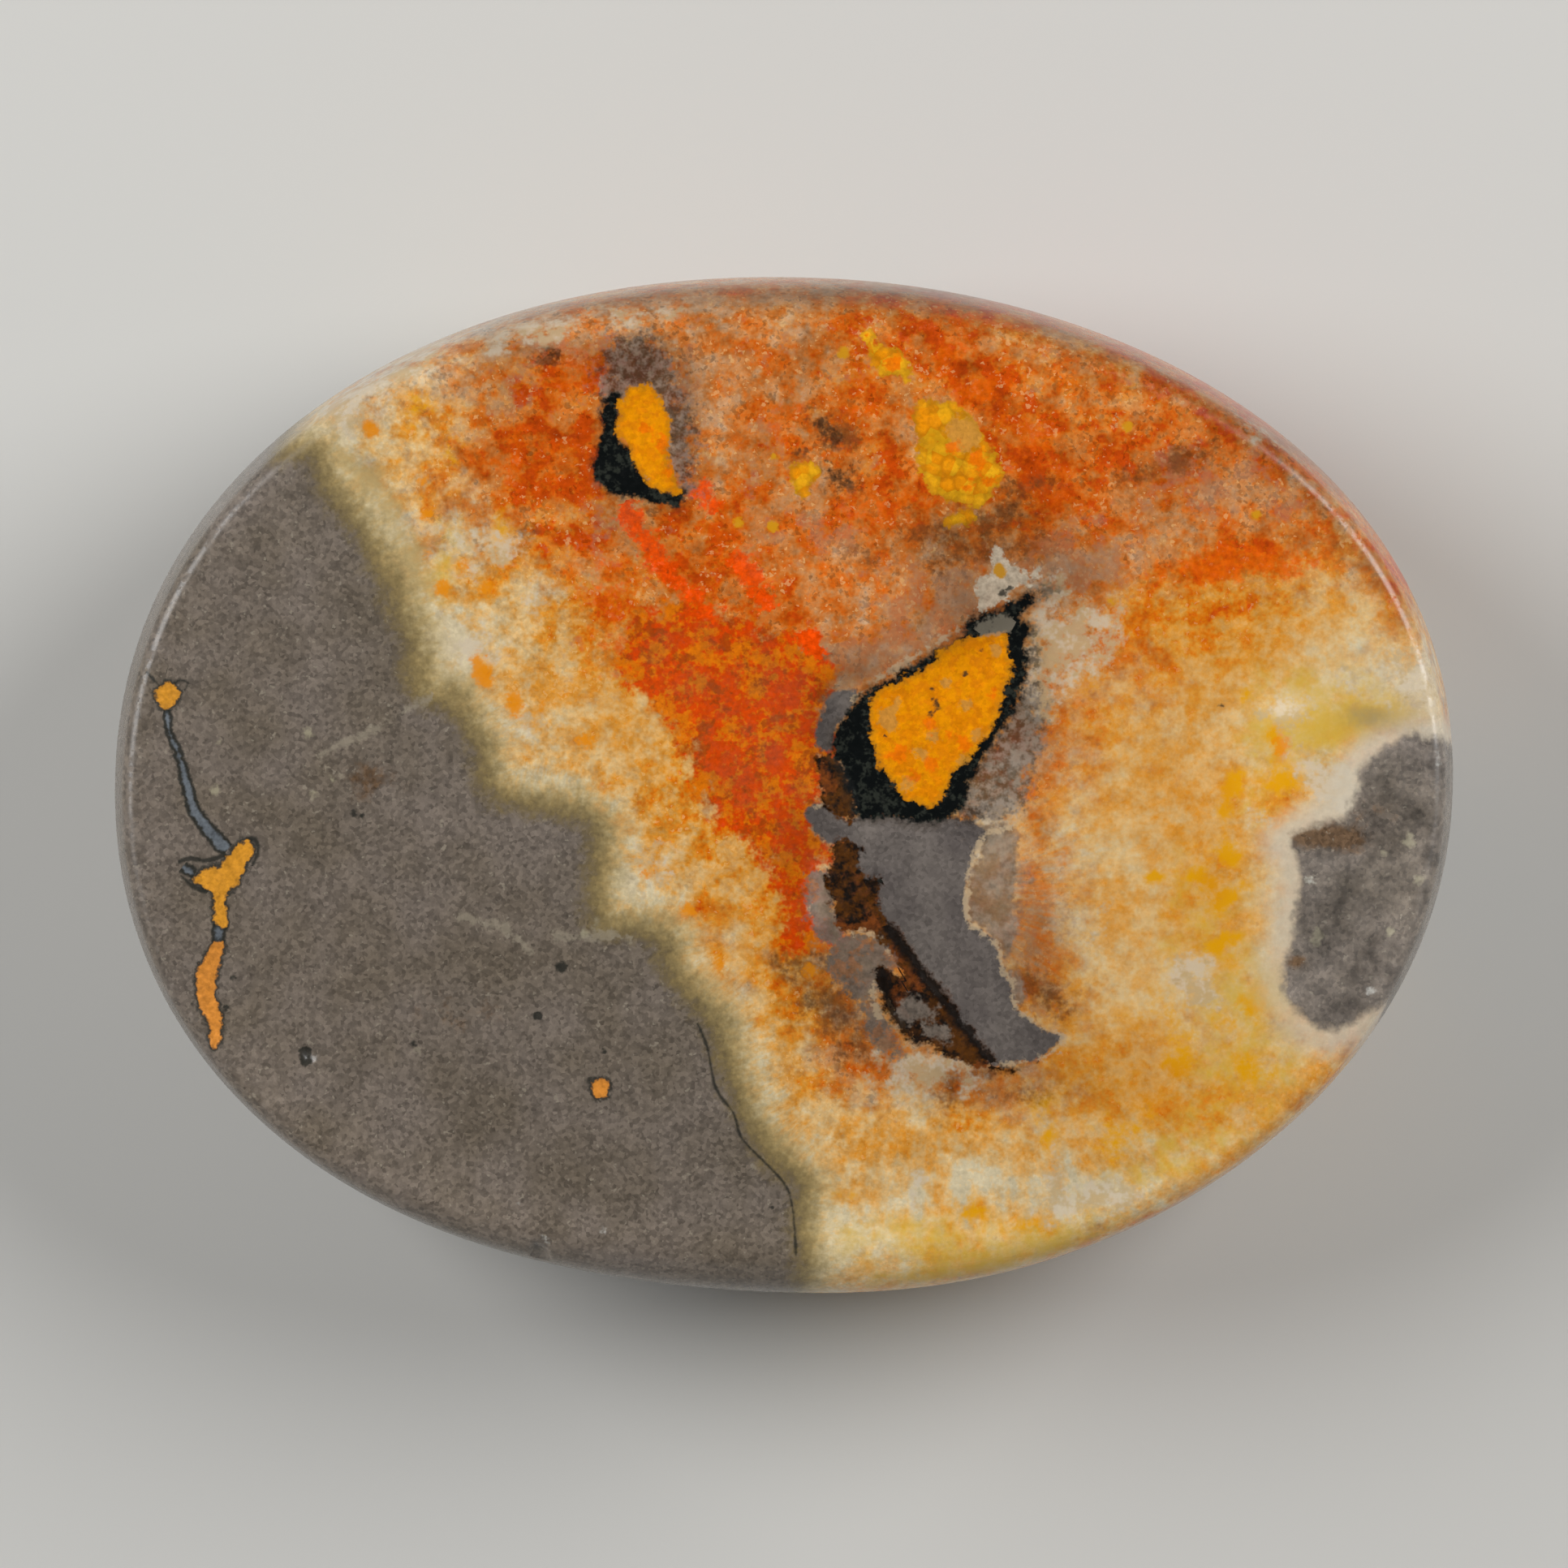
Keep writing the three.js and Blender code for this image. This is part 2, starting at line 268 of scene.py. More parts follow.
# In the dark streak: black bands along the core, and rust between its dark masses.
BLACK_BANDS = [
    {"line": [(1090, 1136), (1112, 1166), (1142, 1205), (1172, 1245), (1202, 1286), (1224, 1312)],
     "half": 7.0},
    {"line": [(1086, 1192), (1094, 1235), (1112, 1264), (1136, 1292)], "half": 6.5},
    {"line": [(1216, 1310), (1246, 1320), (1284, 1306)], "half": 3.0, "end_half": 1.0},
    {"line": [(1064, 1090), (1080, 1086), (1092, 1084)], "half": 6.0, "end_half": 3.0},
]
RUST_BANDS = [
    {"line": [(1024, 1134), (1052, 1142), (1086, 1136)], "half": 7.0},
    {"line": [(1100, 1214), (1108, 1238), (1120, 1256)], "half": 4.5},
    {"line": [(1096, 1162), (1114, 1192), (1140, 1222)], "half": 3.5},
    {"line": [(1196, 1312), (1230, 1330), (1250, 1326)], "half": 7.0},
    {"line": [(1010, 936), (1018, 960), (1024, 980)], "half": 5.0},
]

# Round spots, each as x, y and radius. First the dark specks and pits.
PITS = [
    (377, 1297, 8), (377, 1306, 8), (436, 1001, 5), (446, 1005, 4), (287, 1204, 5), (662, 1252, 5),
    (693, 1190, 6), (688, 1192, 4), (744, 1296, 4), (509, 1286, 3), (238, 1237, 4), (278, 1242, 4),
    (1505, 870, 4), (1152, 862, 5), (1156, 869, 5), (1190, 829, 4), (1208, 801, 4), (1150, 850, 3),
    (1147, 879, 3), (632, 1533, 7), (641, 1530, 5), (1235, 730, 6), (1244, 725, 4), (950, 1488, 3),
]

# The tan and the orange spots on the yellow inclusions.
TAN_SPOTS = [
    (1095, 884, 13), (1106, 868, 7), (1190, 868, 8), (1204, 905, 7), (1150, 906, 8), (1186, 936, 7),
    (1120, 966, 9), (1186, 537, 23), (1165, 842, 6), (1225, 800, 6), (1135, 930, 6),
]
ORANGE_SPOTS = [
    (1105, 931, 11), (1150, 941, 9), (1186, 918, 8), (1222, 850, 7), (1146, 895, 6), (1126, 956, 7),
    (1174, 551, 11), (1206, 566, 11), (1216, 592, 8), (1196, 602, 7), (816, 549, 11), (796, 526, 6),
    (826, 577, 7), (1100, 447, 8), (1066, 404, 5), (1170, 905, 5),
]

# The yellow beads, red spots and orange drips in the calcite.
YELLOW_DOTS = [
    (951, 648, 7), (910, 644, 7), (954, 562, 5), (1389, 526, 6), (1370, 741, 6), (1548, 636, 5),
    (1232, 704, 8), (1040, 436, 7),
]
RED_SPOTS = [(1000, 790, 13), (989, 786, 8), (1010, 800, 8)]
DRIPS = [
    (588, 814, 8), (594, 828, 9), (601, 840, 7), (634, 873, 9), (632, 861, 6), (545, 726, 8),
    (600, 724, 8), (457, 531, 7), (523, 590, 6), (525, 632, 5), (572, 697, 6), (722, 913, 9),
    (1578, 920, 9), (794, 1074, 7), (850, 1122, 8), (886, 1186, 7), (665, 870, 4), (527, 684, 5),
    (1000, 1196, 9),
]

# The pale specks in the grey rock, and the white bruises in it and along its lower edge.
PALE_SPECKS = [
    (1624, 1152, 9), (1623, 1162, 8), (1736, 1036, 8), (1748, 1085, 6), (1712, 1148, 5),
    (1612, 1086, 4), (1706, 1052, 4), (380, 903, 5), (409, 958, 5), (386, 980, 4), (270, 915, 4),
    (265, 975, 4), (740, 1142, 9), (752, 1146, 8), (720, 1150, 5),
]
BRUISES = [
    (664, 1539, 9), (674, 1533, 11), (682, 1540, 8), (591, 1515, 5), (716, 1545, 5), (744, 1514, 3),
    (640, 1482, 3), (1612, 1086, 3), (1688, 1219, 4), (1774, 926, 4), (1776, 942, 6),
]

# The fibres of the calcite on the right and below point away from here, and show in patches.
RAY_MIDDLE = (1150, 1100)
RAY_WIDTH_RADIUS = 11.0  # in millimetres, where the fibres have their own width
FIBRE_STRETCH = 0.2  # a fibre's width as a share of its length
RAY_PATCHES = [
    (1420, 1000, 160, 150, 0, 0.25), (1180, 1490, 200, 80, 0, 0.8), (1400, 1440, 160, 60, 20, 0.8),
    (1275, 1120, 50, 130, 0, 0.6),
]

# Soft patches, each as x, y, half-length, half-width, turn in degrees and strength. Iron takes the
# calcite from cream over orange to red, from the amount that it has everywhere.
CALCITE_IRON = 0.45
IRON_PATCHES = [
    (470, 470, 110, 28, 32, -0.25), (440, 530, 40, 25, 0, -0.15), (620, 395, 80, 18, 12, -0.15),
    (655, 560, 75, 45, 0, 0.42), (700, 470, 45, 35, 0, 0.42), (645, 480, 30, 60, 0, 0.15),
    (660, 620, 60, 30, 0, 0.28), (725, 560, 20, 50, 0, 0.3), (570, 565, 45, 28, 0, -0.05),
    (590, 650, 55, 45, 0, -0.05), (690, 670, 50, 22, 10, 0.35), (670, 730, 35, 28, 0, -0.15),
    (720, 720, 30, 40, 0, 0.18), (745, 780, 40, 45, 0, 0.28), (600, 720, 40, 20, 0, 0.08),
    (560, 800, 50, 40, 0, -0.2), (640, 900, 60, 35, 0, -0.12), (780, 960, 60, 50, 0, 0.1),
    (800, 1080, 40, 50, 0, -0.22), (900, 1030, 60, 50, 0, 0.1), (850, 950, 40, 60, 0, 0.12),
    (870, 1100, 50, 60, 0, 0.12), (930, 1230, 40, 70, 20, 0.18), (980, 1200, 30, 60, 0, 0.2),
    (860, 450, 60, 60, 0, 0.05), (830, 380, 90, 25, 0, -0.05), (930, 480, 20, 90, 10, 0.18),
    (960, 560, 60, 40, 0, 0.15), (1080, 400, 60, 40, 0, 0.22), (1180, 430, 70, 50, 0, 0.35),
    (1080, 520, 40, 80, 0, 0.28), (1100, 610, 60, 40, 0, 0.35), (1230, 400, 60, 25, 0, 0.05),
    (1220, 490, 50, 40, 0, 0.35), (1265, 560, 50, 60, 0, 0.35), (1330, 560, 50, 40, 0, 0.2),
    (1320, 620, 70, 30, 0, 0.3), (1430, 500, 90, 50, 0, 0.2), (1350, 450, 80, 40, 0, 0.12),
    (1400, 560, 60, 40, 0, 0.2), (1500, 540, 50, 40, -30, 0.2), (1000, 640, 100, 30, 0, 0.05),
    (1000, 465, 35, 50, 0, 0.2), (1235, 420, 45, 22, 0, -0.2), (1650, 710, 40, 40, 0, -0.12),
    (1700, 785, 40, 30, 0, -0.12), (1520, 748, 80, 22, 0, 0.12), (1430, 830, 50, 25, 0, 0.08),
    (1100, 1385, 40, 30, 0, -0.1), (1200, 1380, 26, 20, 0, 0.15), (960, 1290, 40, 40, 0, -0.12),
    (900, 640, 60, 40, 0, 0.2), (960, 760, 50, 40, 0, 0.3), (1080, 720, 100, 60, 0, 0.1),
    (1440, 640, 90, 30, 0, 0.12), (1560, 600, 60, 50, 0, 0.1), (1480, 700, 60, 22, 5, 0.38),
    (1560, 690, 60, 25, -10, 0.38), (1640, 650, 50, 30, -45, 0.2), (1725, 690, 26, 60, 0, 0.4),
    (1450, 780, 120, 50, 0, 0.25), (1330, 870, 30, 40, 0, 0.2), (1250, 950, 40, 40, 0, 0.1),
    (1620, 740, 60, 40, 0, 0.05), (1680, 820, 80, 40, 0, -0.28), (1578, 930, 12, 12, 0, 0.4),
    (1600, 870, 50, 25, 0, -0.15), (1730, 850, 60, 30, 0, -0.2),
    (1510, 980, 22, 45, 0, 0.12), (1590, 975, 25, 20, 0, 0.12), (1500, 1090, 40, 45, 0, 0.18),
    (1450, 1050, 60, 40, 0, -0.05), (1350, 1050, 60, 50, 0, -0.05), (1275, 1080, 25, 60, 0, 0.08),
    (1290, 1200, 35, 60, 0, 0.3), (1400, 1200, 80, 60, 0, -0.08), (1500, 1180, 40, 40, 0, 0.12),
    (1480, 1220, 45, 30, 0, -0.2), (1550, 1180, 40, 90, 0, -0.2), (1380, 1330, 120, 50, 0, 0.12),
    (1320, 1400, 60, 30, 0, 0.08), (1440, 1360, 100, 40, 0, 0.1), (1600, 1300, 40, 40, 0, -0.1),
    (1350, 1475, 90, 22, 10, -0.35), (1230, 1400, 60, 40, 0, 0.05), (1195, 1492, 26, 22, 0, 0.25),
    (1275, 1508, 26, 14, 0, 0.3), (1040, 1473, 24, 10, 0, 0.25), (1080, 1540, 90, 30, 0, -0.12),
    (1130, 1340, 50, 35, 0, -0.2), (1180, 1345, 22, 35, 0, 0.3), (1060, 1320, 50, 30, 0, 0.25),
    (595, 825, 11, 18, 0, 0.4), (633, 872, 11, 12, 0, 0.4), (545, 726, 12, 8, 0, 0.3),
    (457, 531, 10, 9, 0, 0.35), (600, 722, 10, 9, 0, 0.25), (572, 700, 12, 12, 0, 0.2),
    (526, 640, 8, 50, 0, 0.2), (755, 965, 16, 9, 0, 0.25), (668, 934, 22, 9, 0, 0.25),
    (808, 1075, 16, 9, 0, 0.2), (858, 1120, 11, 9, 0, 0.35), (886, 1180, 9, 16, 0, 0.35),
    (575, 680, 35, 60, 0, -0.15), (840, 700, 70, 60, 45, 0.18), (700, 930, 35, 28, 0, -0.15),
    (900, 1180, 30, 45, 0, -0.12), (950, 1330, 30, 40, 0, -0.1), (1325, 1130, 35, 90, 0, -0.15),
    (1420, 1410, 90, 25, 0, -0.12), (1200, 1475, 150, 30, 0, -0.2), (1000, 1540, 260, 25, 0, -0.15),
    (1765, 850, 20, 60, 0, -0.4), (1620, 940, 90, 30, -30, -0.2), (1290, 1200, 30, 70, 0, -0.15),
    (1350, 580, 30, 30, 0, -0.15), (550, 635, 25, 30, 0, -0.15), (655, 690, 30, 25, 0, 0.12),
    (810, 670, 35, 40, 0, 0.2), (900, 730, 70, 30, 0, 0.2), (945, 1120, 20, 60, 0, 0.2),
    (905, 1185, 25, 30, 0, -0.15), (1350, 740, 30, 20, 0, -0.15), (1520, 690, 60, 20, 0, -0.1),
    (1230, 1345, 90, 24, 0, -0.03), (1040, 1310, 50, 35, 0, -0.02), (1090, 1450, 60, 26, 0, -0.05),
    (1060, 1505, 50, 20, 0, -0.2), (1210, 1445, 30, 22, 0, -0.2), (1240, 1400, 70, 50, 0, -0.12),
    (1150, 1160, 20, 20, 0, 0.2), (560, 760, 50, 60, 0, -0.1), (1330, 1380, 60, 60, 0, -0.08),
    (1280, 1140, 20, 50, 0, -0.12), (1400, 830, 60, 35, 0, -0.04),
]

# Golden calcite, and the pinker kind where there is little of it.
CALCITE_GOLD = 0.3
GOLDEN_PATCHES = [
    (1480, 1050, 240, 220, 0, 0.65), (1350, 1400, 260, 110, 0, 0.6), (1100, 1500, 160, 90, 0, 0.7),
    (700, 900, 130, 120, 0, 0.5), (600, 750, 90, 80, 0, 0.45), (850, 1050, 90, 90, 0, 0.5),
    (950, 1300, 70, 150, 0, 0.5), (500, 550, 90, 70, 0, 0.45), (1540, 790, 170, 70, 0, 0.5),
    (860, 450, 80, 80, 0, -0.35), (1080, 720, 110, 60, 0, -0.35), (1480, 610, 110, 50, 0, -0.35),
    (1340, 700, 70, 50, 0, -0.3), (1150, 760, 80, 50, 0, -0.3), (1290, 930, 60, 60, 0, -0.3),
    (1230, 1350, 100, 40, 0, -0.5), (1040, 1310, 50, 40, 0, -0.4), (1290, 1130, 45, 110, 0, -0.35),
    (575, 565, 60, 35, 0, -0.25), (1400, 830, 70, 35, 0, -0.4),
]

# Where the calcite is smooth and even, without crumbs and glints.
CALM_PATCHES = [
    (1430, 1000, 200, 190, 0, 0.8), (1400, 1330, 190, 120, 0, 0.65), (1120, 1480, 170, 90, 0, 0.4),
    (1450, 1200, 120, 120, 0, 0.7), (1480, 830, 160, 60, 0, 0.5), (900, 1150, 60, 80, 0, 0.4),
    (760, 880, 80, 60, 0, 0.5), (1660, 800, 90, 80, 0, 0.7), (560, 830, 60, 60, 0, 0.5),
]

# Clouds of one colour in the calcite, and brown stains in the grey rock.
HOT_PATCHES = [
    (655, 560, 50, 35, 0, 0.5), (700, 455, 30, 25, 0, 0.5), (1500, 698, 70, 20, 5, 0.6),
    (1560, 690, 50, 18, 0, 0.5), (1170, 420, 40, 40, 0, 0.45), (1218, 490, 28, 20, 0, 0.7),
    (1100, 622, 55, 30, 0, 0.5), (1310, 610, 50, 20, 0, 0.45), (1270, 560, 40, 40, 0, 0.35),
    (970, 520, 20, 24, 0, 0.5), (1060, 500, 20, 30, 0, 0.4), (900, 655, 30, 40, 0, 0.4),
    (740, 720, 40, 40, 0, 0.3), (760, 790, 40, 40, 0, 0.35),
]
MAUVE_PATCHES = [
    (735, 700, 60, 50, 0, 0.35), (1010, 430, 30, 50, -20, 0.35), (620, 480, 60, 50, 0, 0.35),
    (1000, 650, 80, 35, 0, 0.4), (1130, 780, 120, 35, 22, 0.6), (1060, 815, 40, 20, 20, 0.8),
    (1480, 590, 70, 30, 10, 0.5), (1330, 690, 70, 40, 0, 0.5), (1560, 610, 50, 30, -30, 0.4),
    (1245, 950, 30, 60, 0, 0.5), (700, 790, 18, 40, -25, 0.6), (770, 815, 18, 30, -30, 0.6),
    (875, 985, 20, 20, 0, 0.6), (850, 480, 16, 90, 0, 0.5), (930, 560, 30, 40, 0, 0.35),
    (660, 425, 40, 15, 0, 0.8), (720, 440, 25, 20, 0, 0.4), (1290, 920, 50, 40, 0, 0.4),
    (1275, 1170, 30, 80, 0, 0.6), (755, 640, 25, 30, -30, 0.6), (1175, 735, 28, 25, 0, 0.7),
    (1315, 705, 45, 20, 0, 0.8), (1180, 1320, 60, 30, 20, 0.6), (1330, 1120, 30, 60, 0, 0.2),
    (960, 500, 12, 80, -12, 0.3),
]
UMBER_PATCHES = [
    (1266, 602, 30, 12, 10, 0.6), (1242, 648, 45, 25, 0, 0.5), (1165, 670, 45, 28, 0, 0.65),
    (1455, 568, 44, 12, 25, 0.75), (1014, 518, 18, 14, -40, 0.9), (1037, 535, 16, 16, 0, 0.9),
    (1022, 583, 26, 24, 0, 0.5), (995, 1185, 36, 16, 0, 0.7), (1035, 1240, 30, 30, 0, 0.7),
    (995, 1230, 18, 20, 0, 0.6), (1065, 1290, 30, 25, 0, 0.55), (1290, 1235, 30, 22, 0, 0.55),
    (1275, 1160, 25, 40, 0, 0.15), (1170, 1340, 20, 28, 0, 0.75), (1015, 840, 14, 40, 0, 0.7),
    (1005, 1030, 14, 30, 0, 0.5), (1420, 580, 40, 12, 10, 0.6), (650, 655, 14, 8, 0, 0.5),
    (1230, 680, 40, 15, 0, 0.4), (1070, 690, 30, 20, 0, 0.3), (665, 432, 26, 7, 0, 0.7),
    (1265, 1215, 20, 14, 0, 0.7), (1245, 1350, 60, 12, 0, 0.3), (1205, 1322, 40, 9, 10, 0.8),
    (820, 610, 20, 10, 20, 0.5), (883, 962, 16, 8, 0, 0.5),
]
MILK_PATCHES = [
    (1310, 790, 50, 40, 0, 0.75), (1345, 770, 30, 30, 0, 0.6), (1285, 860, 25, 40, 0, 0.6),
    (1700, 830, 60, 40, 0, 0.35), (1580, 872, 26, 16, 0, 0.95), (1468, 1196, 25, 18, 0, 0.8),
    (1487, 1230, 25, 15, 0, 0.8), (1340, 1475, 60, 18, 20, 0.8), (1380, 1483, 25, 10, 20, 0.6),
    (1125, 1318, 45, 28, 0, 0.75), (1195, 1330, 14, 18, 0, 0.7), (660, 405, 60, 20, 12, 0.7),
    (790, 385, 50, 14, 8, 0.5), (480, 450, 70, 26, 32, 0.7), (420, 510, 40, 25, 35, 0.7),
    (620, 680, 30, 15, 30, 0.5), (670, 735, 28, 22, 0, 0.5), (570, 795, 50, 30, 0, 0.5),
    (650, 900, 50, 30, 0, 0.4), (800, 1065, 40, 40, 0, 0.4), (1215, 1035, 20, 18, 0, 0.8),
    (1000, 1100, 8, 30, 0, 0.6), (1215, 1000, 25, 20, 0, 0.75), (1280, 840, 16, 16, 0, 0.8),
    (1245, 960, 25, 35, 0, 0.5), (1290, 715, 25, 15, 20, 0.5), (1430, 455, 40, 16, -28, 0.4),
    (1550, 530, 40, 14, -35, 0.5), (1330, 410, 50, 12, -20, 0.4), (745, 1152, 12, 8, 0, 0.8),
    (672, 1538, 16, 7, -20, 0.9), (1096, 1275, 10, 25, -30, 0.5), (1640, 960, 50, 24, -38, 0.9),
    (585, 665, 28, 45, 0, 0.5), (1750, 850, 20, 40, 0, 0.4), (1130, 1450, 14, 40, 0, 0.5),
    (1310, 1430, 20, 40, -15, 0.4), (1545, 1010, 26, 16, 0, 0.4), (1350, 1130, 26, 50, 0, 0.3),
]
SMOKE_PATCHES = [
    (1268, 800, 12, 24, 0, 0.6), (1290, 730, 14, 10, 0, 0.5), (1040, 600, 20, 14, 0, 0.35),
    (1025, 575, 20, 14, 0, 0.35), (680, 440, 30, 10, 0, 0.5), (1205, 1000, 20, 12, 0, 0.4),
    (1018, 525, 22, 10, -50, 0.7), (985, 560, 10, 6, 0, 0.8),
]
STAIN_PATCHES = [
    (1645, 1032, 50, 14, 0, 0.95), (1600, 1185, 12, 8, 0, 0.8), (455, 965, 45, 30, 0, 0.42),
    (1690, 1000, 40, 20, 0, 0.4), (330, 1420, 60, 30, 0, 0.3), (560, 1240, 60, 40, 0, 0.3),
]
KHAKI_PATCHES = [
    (482, 640, 85, 22, -62, 0.75), (430, 572, 34, 16, -30, 0.6), (522, 770, 70, 14, -80, 0.6),
    (560, 838, 30, 14, -20, 0.5), (955, 1420, 60, 10, -60, 0.6), (1275, 785, 12, 16, 0, 0.5),
    (745, 1090, 8, 40, 0, 0.4), (1690, 882, 30, 12, 0, 0.7),
]

# Where the whole surface is lighter, or darker where the strength is below 0. Along the lower edge this is
# painted light, along the upper edge painted shade, elsewhere the stone's own tone.
TONE_AND_PAINTED_LIGHT_PATCHES = [
    # The first five patches are painted light along the lower edge, and the four after them are painted
    # shade along the upper edge.
    (520, 1470, 180, 50, -28, 0.25), (850, 1555, 240, 50, 0, 0.25), (1150, 1555, 240, 45, 8, 0.14),
    (320, 1330, 100, 30, -50, 0.14), (1420, 1460, 140, 35, 28, 0.1), (690, 370, 160, 16, 12, -0.3),
    (920, 355, 160, 22, 0, -0.45), (1160, 372, 160, 24, -10, -0.45), (1330, 425, 90, 18, -24, -0.35),
    (605, 425, 36, 22, 0, -0.25), (450, 540, 20, 40, 40, -0.12), (780, 640, 40, 30, 0, -0.15),
    (1190, 735, 45, 30, 0, -0.3), (1305, 720, 40, 40, 0, -0.25), (1170, 800, 60, 20, 25, -0.2),
    (785, 445, 50, 28, 0, -0.4), (845, 530, 16, 70, 0, -0.25), (1580, 872, 22, 12, 0, 0.2),
    (1050, 830, 40, 18, 20, -0.4), (1010, 900, 26, 30, 0, -0.35), (1272, 885, 22, 26, 0, -0.25),
    (1010, 1015, 30, 34, 0, -0.15), (1060, 1180, 90, 60, 0, -0.2), (1090, 1270, 60, 40, 0, -0.25),
    (1235, 1335, 110, 26, 0, -0.25), (1285, 1190, 45, 80, 0, -0.22), (1580, 872, 30, 18, 0, 0.15),
    (1280, 820, 25, 50, 0, -0.15), (1320, 1290, 70, 40, 0, -0.1), (1250, 1190, 22, 30, 0, -0.12),
    (1240, 650, 60, 50, 0, -0.25), (1160, 665, 50, 30, 0, -0.28), (1560, 970, 60, 60, 0, 0.12),
    (1710, 888, 40, 16, 0, -0.22), (1735, 1040, 60, 140, 0, 0.22), (1010, 1205, 30, 40, 0, -0.15),
    # The last patch on the next line and the three on the line after it are painted shade along the upper
    # right rim.
    (1640, 1115, 30, 45, 0, -0.2), (980, 1055, 20, 50, 0, -0.25), (1450, 478, 110, 16, -33, -0.3),
    (1565, 558, 90, 14, -42, -0.3), (1655, 655, 90, 14, -50, -0.28), (1722, 745, 50, 12, -64, -0.2),
    (1000, 445, 30, 30, 0, -0.15), (1040, 695, 80, 45, 0, 0.12), (735, 690, 40, 30, 0, 0.1),
    (1190, 770, 70, 24, 25, -0.1), (630, 500, 50, 50, 0, -0.08), (1380, 1440, 120, 30, 20, -0.08),
    (1006, 1104, 9, 30, 0, 0.45),
]

# The yellow clouds in the golden calcite.
GOLD_PATCHES = [
    (1520, 965, 9, 20, -10, 1.0), (1511, 998, 8, 12, 0, 1.0), (1582, 963, 17, 15, 0, 1.0),
    (1570, 905, 8, 11, 0, 1.0), (1513, 1052, 10, 13, 0, 1.0), (1483, 1083, 18, 8, -20, 1.0),
    (1516, 1104, 18, 9, 30, 1.0), (1502, 1163, 15, 8, 20, 1.0), (1420, 1080, 10, 6, 0, 0.9),
    (1537, 856, 10, 8, 0, 0.7), (1450, 1310, 16, 12, 0, 0.6), (1290, 1390, 14, 30, 10, 0.6),
    (1380, 1410, 26, 26, 0, 0.5), (1195, 1492, 16, 14, 0, 0.7), (1270, 1508, 22, 8, 10, 0.7),
    (1540, 1320, 26, 14, 0, 0.5), (1340, 850, 12, 20, 0, 0.5), (520, 505, 16, 22, 0, 0.5),
    (618, 655, 12, 22, 0, 0.7), (560, 555, 12, 18, 0, 0.4), (1040, 1473, 16, 8, 0, 0.6),
    (1495, 1110, 50, 80, 0, 0.2), (1592, 945, 30, 30, 0, 0.35), (1480, 1250, 80, 50, 0, 0.3),
    (1430, 1360, 110, 40, 0, 0.2), (1545, 1240, 12, 9, 0, 0.7),
]
LEMON_PATCHES = [
    (1650, 885, 66, 22, 8, 0.8), (1610, 920, 50, 30, 30, 0.6), (1590, 905, 45, 25, 0, 0.4),
    (1540, 1235, 50, 55, 0, 0.6), (1530, 1330, 110, 50, 30, 0.3), (1560, 995, 30, 20, 0, 0.5),
    (1180, 1562, 90, 14, 8, 0.6), (540, 700, 20, 90, -15, 0.4), (1720, 880, 40, 14, 0, 0.5),
    (1140, 1525, 120, 24, 0, 0.5), (1260, 1535, 60, 16, 14, 0.6), (1340, 1510, 40, 16, 20, 0.5),
    (1480, 1140, 60, 80, 0, 0.3), (1620, 850, 90, 30, 0, 0.4), (1440, 1430, 80, 24, 20, 0.4),
]

# The sizes of the noises that break up the markings, in millimetres, from coarse to fine.
CLOUD_SIZE = 3.4
LUMP_SIZE = 1.3
CRUMB_SIZE = 0.4
CRYSTAL_SIZE = 0.17
BEAD_SIZE = 0.6
SEAM_FIBRE_SIZE = 0.22
RAY_FIBRE_SIZE = 0.5

# The border of the left grey end, in millimetres from the seam, where more than 0 is in the grey.
# Each band begins to show at its first value and shows fully at its second. The first one is
# that of the fibres in the calcite.
SEAM_FIBRES_FROM = (-3.0, -0.6)
SEAM_CREAM_FROM = (-2.0, -0.4)
SEAM_OLIVE_FROM = (-1.1, 0.1)
HOST_OLIVE_FROM = (-0.3, 0.6)
HOST_FROM = (0.2, 1.4)

# The white border and the rock of the right grey end, in the same way.
HALO_WHITE_FROM = (-2.0, -0.4)
RIGHT_HOST_FROM = (-0.3, 0.3)

# Colours, in the photograph's own values from 0 to 255. Both kinds of calcite change with iron.
PINK_CALCITE = [
    (0.0, (194, 174, 150)), (0.25, (196, 152, 112)), (0.45, (199, 132, 76)), (0.62, (202, 115, 47)),
    (0.8, (203, 95, 16)), (0.95, (192, 69, 4)),
]
GOLDEN_CALCITE = [
    (0.0, (212, 196, 160)), (0.25, (216, 179, 121)), (0.45, (214, 160, 87)), (0.62, (212, 142, 49)),
    (0.8, (211, 114, 12)), (0.95, (196, 76, 3)),
]
FLECK = (238, 196, 132)
HOT_ORANGE = (214, 90, 3)
FLAME_ORANGE = (208, 108, 6)
FLAME_RED = (200, 60, 1)
FLAME_BROWN = (150, 58, 8)
STREAK_RED = (229, 72, 0)
DRIP_ORANGE = (228, 138, 14)
MAUVE_CALCITE = (148, 106, 82)
UMBER = (112, 60, 26)
MILK = (204, 188, 164)
MILK_TAN = (188, 166, 128)
SMOKE = (60, 46, 30)
LEMON = (208, 170, 62)
KHAKI = (172, 150, 100)
GOLD = (222, 156, 5)
RUSTY_GOLD = (212, 134, 6)
DUSK_DARK = (62, 52, 45)
DUSK_PALE = (137, 124, 113)
HALO_WHITE = (201, 190, 170)
STAIN = (88, 64, 40)
PALE_SPECK = (166, 158, 132)
BRUISE_WHITE = (196, 194, 186)
HOST_GREY = (109, 99, 90)
HOST_BROWN = (98, 88, 76)
HOST_PALE = (148, 138, 122)
HOST_COOL = (128, 124, 121)
HOST_OLIVE = (118, 102, 68)
SEAM_OLIVE = (140, 122, 80)
SEAM_CREAM = (184, 164, 118)
CORE_GREY = (112, 104, 98)
CORE_LOW_GREY = (88, 81, 78)
SMALL_GREY = (116, 104, 93)
SMALL_TAN = (142, 104, 78)
